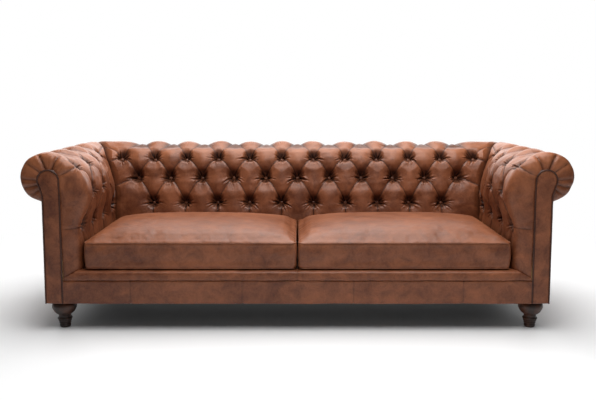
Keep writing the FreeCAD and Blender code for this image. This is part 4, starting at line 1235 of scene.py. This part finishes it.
def cushion_start():
    """A cushion's cut shape before its filling pushes it out: a box with a crown, rounded at the
    upright corners and a little wider half way up its sides. Also its upper and lower seam."""
    middle = np.array([(low + high) / 2 for low, high in CUSHION.values()])
    half = [(high - low) / 2 for low, high in CUSHION.values()]
    corner = CUSHION_CORNER
    rim = []
    for quarter, (sx, sy) in enumerate(((1, -1), (1, 1), (-1, 1), (-1, -1))):
        for t in np.linspace(0, 1, 9):
            angle = math.pi / 2 * (quarter + t - 1)
            rim.append((sx * (half[0] - corner) + corner * math.cos(angle),
                        sy * (half[1] - corner) + corner * math.sin(angle)))
    rim = smooth_path(rim, 0.008, closed=True)
    flat = np.stack([rim * share for share in np.linspace(0.02, 1, 46) ** 0.8])
    across, along = flat[..., 0] / half[0], flat[..., 1] / half[1]
    crown = (1 - np.abs(across) ** 3.4) ** 0.9 * (1 - np.abs(along) ** 3.0) ** 0.9
    top = at_height(flat, half[2] + CUSHION_CROWN * np.maximum(crown, 0))
    side = [
        at_height(rim * (1 + 0.012 * (1 - level ** 2)), level * half[2])
        for level in np.linspace(1, -1, 18)[1:-1]
    ]
    points = np.concatenate([top, side, at_height(flat[::-1], -half[2])]) + middle
    return points, [at_height(rim, height) + middle for height in (half[2], -half[2])]


def filled(piece, seams):
    """Lets the filling push a cushion's cover out, each point by no more than the cap. Its
    neighbours and the deck hold it back, and its welted seams give least."""
    remesh = piece.modifiers.new("remesh", "REMESH")
    remesh.mode = "VOXEL"
    remesh.voxel_size = VOXEL
    apply_modifiers(piece)
    start = read_points(piece)
    cloth = piece.modifiers.new("filling", "CLOTH")
    cloth.settings.use_pressure = True
    cloth.settings.uniform_pressure_force = PRESSURE
    cloth.settings.effector_weights.gravity = 0
    cloth.settings.quality = 6
    cloth.settings.tension_stiffness = 30
    cloth.settings.compression_stiffness = 12
    cloth.settings.shear_stiffness = 12
    cloth.settings.bending_stiffness = 0.6
    cloth.point_cache.frame_start = 1
    cloth.point_cache.frame_end = FRAMES
    for number in range(1, FRAMES + 1):
        bpy.context.scene.frame_set(number)
    apply_modifiers(piece)
    bpy.context.scene.frame_set(1)
    moved = read_points(piece) - start
    far = np.linalg.norm(moved, axis=1, keepdims=True)
    moved *= np.minimum(1, CUSHION_CAP / np.maximum(far, 1e-9))
    moved = evened(piece, moved, 14)
    moved[:, :2] *= SIDE_GIVE
    moved[:, 2] = np.maximum(moved[:, 2], -0.001)
    moved *= 1 - 0.75 * np.exp(-(distances(start, seams) / 0.024) ** 2)[:, None]
    write_points(piece, start + moved)


def evened(piece, values, rounds):
    """Numbers of a mesh's points, each drawn towards the mean of its neighbours."""
    edges = np.empty(len(piece.data.edges) * 2, np.int32)
    piece.data.edges.foreach_get("vertices", edges)
    one, other = edges.reshape(-1, 2).T
    count = np.bincount(edges, minlength=len(values))[:, None]
    for _ in range(rounds):
        total = np.zeros_like(values)
        np.add.at(total, one, values[other])
        np.add.at(total, other, values[one])
        values = 0.5 * values + 0.5 * total / np.maximum(count, 1)
    return values


def distances(points, targets):
    """How far each point lies from the nearest target."""
    finder = KDTree(len(targets))
    for number, spot in enumerate(targets):
        finder.insert(Vector(spot.tolist()), number)
    finder.balance()
    return np.array([finder.find(Vector(spot.tolist()))[2] for spot in points])


def apply_modifiers(piece):
    """Bakes the modifiers of a piece into its mesh."""
    graph = bpy.context.evaluated_depsgraph_get()
    baked = bpy.data.meshes.new_from_object(piece.evaluated_get(graph))
    old = piece.data
    piece.modifiers.clear()
    piece.data = baked
    bpy.data.meshes.remove(old)


def read_points(piece):
    points = np.empty(len(piece.data.vertices) * 3)
    piece.data.vertices.foreach_get("co", points)
    return points.reshape(-1, 3)


def write_points(piece, points):
    piece.data.vertices.foreach_set("co", np.asarray(points, np.float32).ravel())
    piece.data.update()


def into_box(points, low, high, box_low, box_high):
    """Points fitted from one box into another."""
    return box_low + (points - low) * (box_high - box_low) / (high - low)


def drawn_on(piece, seams):
    """The seams of a cushion, laid on its surface."""
    tree = BVHTree.FromPolygons(
        [tuple(v.co) for v in piece.data.vertices], [tuple(f.vertices) for f in piece.data.polygons]
    )
    laid = []
    for seam in seams:
        hits = [tree.find_nearest(Vector(spot.tolist())) for spot in seam]
        line = np.array([np.array(hit) + np.array(normal) * 0.0006 for hit, normal, _, _ in hits])
        for _ in range(2):
            line = (np.roll(line, 1, axis=0) + 2 * line + np.roll(line, -1, axis=0)) / 4
        laid.append(line)
    return laid


def make_cushion(name, mirror, seed, filled_mesh=None):
    """A seat cushion. The second one starts from the filled shape of the first."""
    body = f"cushion_{name}"
    points, seams = cushion_start()
    faces = tube_faces(*points.shape[:2])
    piece = new_piece(f"seat_cushion_{name}", points, faces, SEAT, body)
    outward(piece)
    if filled_mesh is None:
        filled(piece, np.concatenate(seams))
    else:
        piece.data = filled_mesh
    filled_mesh = piece.data.copy()
    shape = read_points(piece)
    (x0, x1), (y0, y1), _ = CUSHION.values()
    box = (x0, y0, ON_DECK), (x1, y1, CUSHION_TOP)
    fit = (shape.min(0), shape.max(0), *map(np.array, box))
    write_points(piece, into_box(shape, *fit))
    seams = drawn_on(piece, [into_box(seam, *fit) for seam in seams])
    smoother = piece.modifiers.new("finer", "SUBSURF")
    smoother.levels = smoother.render_levels = 1
    apply_modifiers(piece)
    spots = read_points(piece)
    far = distances(spots, np.concatenate(seams))
    normals = np.empty(len(spots) * 3)
    piece.data.vertices.foreach_get("normal", normals)
    normals = normals.reshape(-1, 3)
    on_top = smoothstep(0.3, 0.8, normals[:, 2])
    joint = np.exp(-((spots[:, 0] - x0) / 0.032) ** 2)
    swell = 0.0010 * unevenness(spots, seed, 0.10, 0.30) * on_top
    swell += 0.0004 * unevenness(spots, seed + 1, 0.02, 0.06)
    swell += 0.0016 * unevenness(spots * (0.35, 1.0, 1.0), seed + 2, 0.020, 0.045) * joint
    swell -= 0.0018 * np.exp(-(far / 0.006) ** 2)
    pucker = unevenness(spots * (1.0, 1.0, 0.15), seed + 3, 0.012, 0.030)
    swell += 0.0005 * pucker * np.exp(-(far / 0.018) ** 2)
    spots = spots + normals * swell[:, None]
    x, y, z = spots.T
    edge = np.minimum(np.minimum(x - x0, x1 - x), np.minimum(y - y0, y1 - y))
    lift = RIM_LIFT * (1 - smoothstep(0.0, 0.07, edge)) * (1 - smoothstep(0.285, 0.32, z))
    spots[:, 2] = np.maximum(z + lift, ON_DECK)
    spots[:, 0] = np.maximum(x, MIDDLE_GAP)
    flip = np.array([mirror, 1, 1])
    write_points(piece, spots * flip)
    piece.data.polygons.foreach_set("use_smooth", [True] * len(piece.data.polygons))
    outward(piece)
    filling = new_object(f"cushion_filling_{name}", piece.data.copy())
    write_points(filling, (spots - normals * 0.007) * flip)
    filling.data.materials.clear()
    filling.data.materials.append(FOAM)
    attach(filling, body)
    stand_for(f"cushion_foam_{name}")
    # wear: the cushion's leather is paler along its seams
    add_number(piece, "worn_and_lit", np.exp(-(far / 0.010) ** 2) * 0.8)
    # painted shade beside the welted seams
    add_number(piece, "fold", np.maximum(far * 0.5, 0.0011))
    stand_for(f"cushion_cover_{name}")
    for level, lift, path in zip(("upper", "lower"), (0, RIM_LIFT), seams):
        path = smooth_path(path, 0.005, closed=True)
        path[:, 2] = np.maximum(path[:, 2] + lift, DECK_Z + 0.0032)
        path[:, 0] = np.maximum(path[:, 0], 0.0030)
        tube(f"cushion_welt_{level}_{name}", path * flip, 0.0026, 0.07, seed,
             True, body, PIPING)
    return filled_mesh


make_back()
make_arm("left", -1, 21)
make_arm("right", 1, 34)
make_facing("left", -1)
make_facing("right", 1)
make_front()
make_outside()
first_filled = make_cushion("left", -1, 71)
make_cushion("right", 1, 81, first_filled)

SLOT_MATERIALS = {
    "cover_leather": SMOOTH, "cushion_leather": SEAT, "padded_leather": SMOOTH,
    "button_leather": SHADED_BUTTON, "foam": FOAM, "frame_wood": FRAME_WOOD, "foot_wood": FOOT_WOOD,
    "spring_steel": SPRING_STEEL, "plated_steel": PLATED_STEEL, "webbing": WEBBING,
    "hessian": HESSIAN, "deck_cloth": DECK_CLOTH, "dust_cloth": DUST_CLOTH,
}
for part in frame["record"]["subparts"]:
    mesh = nodes[part["node"]].data
    material = SLOT_MATERIALS[part["material_slot"]]
    if not mesh.materials:
        mesh.materials.append(material)
    for number in range(len(mesh.materials)):
        mesh.materials[number] = material


# Stage, light and camera

WHITE = (1, 1, 1, 1)
CAMERA_PLACE = (0.0026, -3.482, 1.038)
CAMERA_DOWN = 8.537
CAMERA_LENS = 42.71


def make_stage():
    """A floor that fades into the white backdrop, and a white world that adds a little light."""
    mesh = bpy.data.meshes.new("floor")
    mesh.from_pydata([(-14, -8, 0), (14, -8, 0), (14, 16, 0), (-14, 16, 0)], [], [(0, 1, 2, 3)])
    floor = new_object("floor", mesh)
    made = Recipe("floor_paint")
    paint = made.surface(rgb(238, 238, 238), 0.75, None, 0.2)
    far = made.add(
        "ShaderNodeVectorMath", "Value", {0: made.scaled((0.8, 1, 1))}, operation="LENGTH"
    )
    glow = made.add("ShaderNodeEmission", 0, {"Color": WHITE, "Strength": 1.0})
    ray = made.add("ShaderNodeLightPath", "Is Camera Ray", {})
    share = made.math("MULTIPLY", made.between(far, 1.15, 2.3), ray)
    faded = made.add("ShaderNodeMixShader", 0, {0: share, 1: paint, 2: glow})
    mesh.materials.append(made.finish(faded))

    world = bpy.data.worlds.new("studio")
    bpy.context.scene.world = world
    world.use_nodes = True
    tree = world.node_tree
    tree.nodes.clear()
    seen = add_node(tree, "ShaderNodeBackground", 0, {"Color": WHITE})
    dim = {"Color": (0.95, 0.97, 1.0, 1), "Strength": 0.09}
    fill = add_node(tree, "ShaderNodeBackground", 0, dim)
    ray = add_node(tree, "ShaderNodeLightPath", "Is Camera Ray", {})
    both = add_node(tree, "ShaderNodeMixShader", 0, {0: ray, 1: fill, 2: seen})
    add_node(tree, "ShaderNodeOutputWorld", None, {"Surface": both})


def make_lamp(name, place, target, width, height, watts):
    lamp = bpy.data.lights.new(name, "AREA")
    lamp.shape = "RECTANGLE"
    lamp.size, lamp.size_y = width, height
    lamp.energy = watts
    holder = new_object(name, lamp)
    holder.location = place
    holder.rotation_euler = (Vector(target) - Vector(place)).to_track_quat("-Z", "Y").to_euler()
    holder.visible_camera = False


def make_camera():
    camera = bpy.data.cameras.new("camera")
    camera.sensor_width = 36.0
    camera.lens = CAMERA_LENS
    holder = new_object("camera", camera)
    holder.location = CAMERA_PLACE
    holder.rotation_euler = (math.radians(90 - CAMERA_DOWN), 0, 0)
    bpy.context.scene.camera = holder


make_stage()
make_lamp("top_light", (0.1, -0.08, 3.2), (0, -0.1, 0.4), 4.6, 2.6, 196)
make_lamp("back_card", (0.0, 3.4, 1.7), (0, 0, 0.7), 7.0, 2.2, 130)
make_lamp("front_light", (1.6, -4.3, 2.5), (0, 0, 0.4), 3.0, 2.0, 8)
make_camera()
bpy.context.scene.view_settings.view_transform = "Standard"
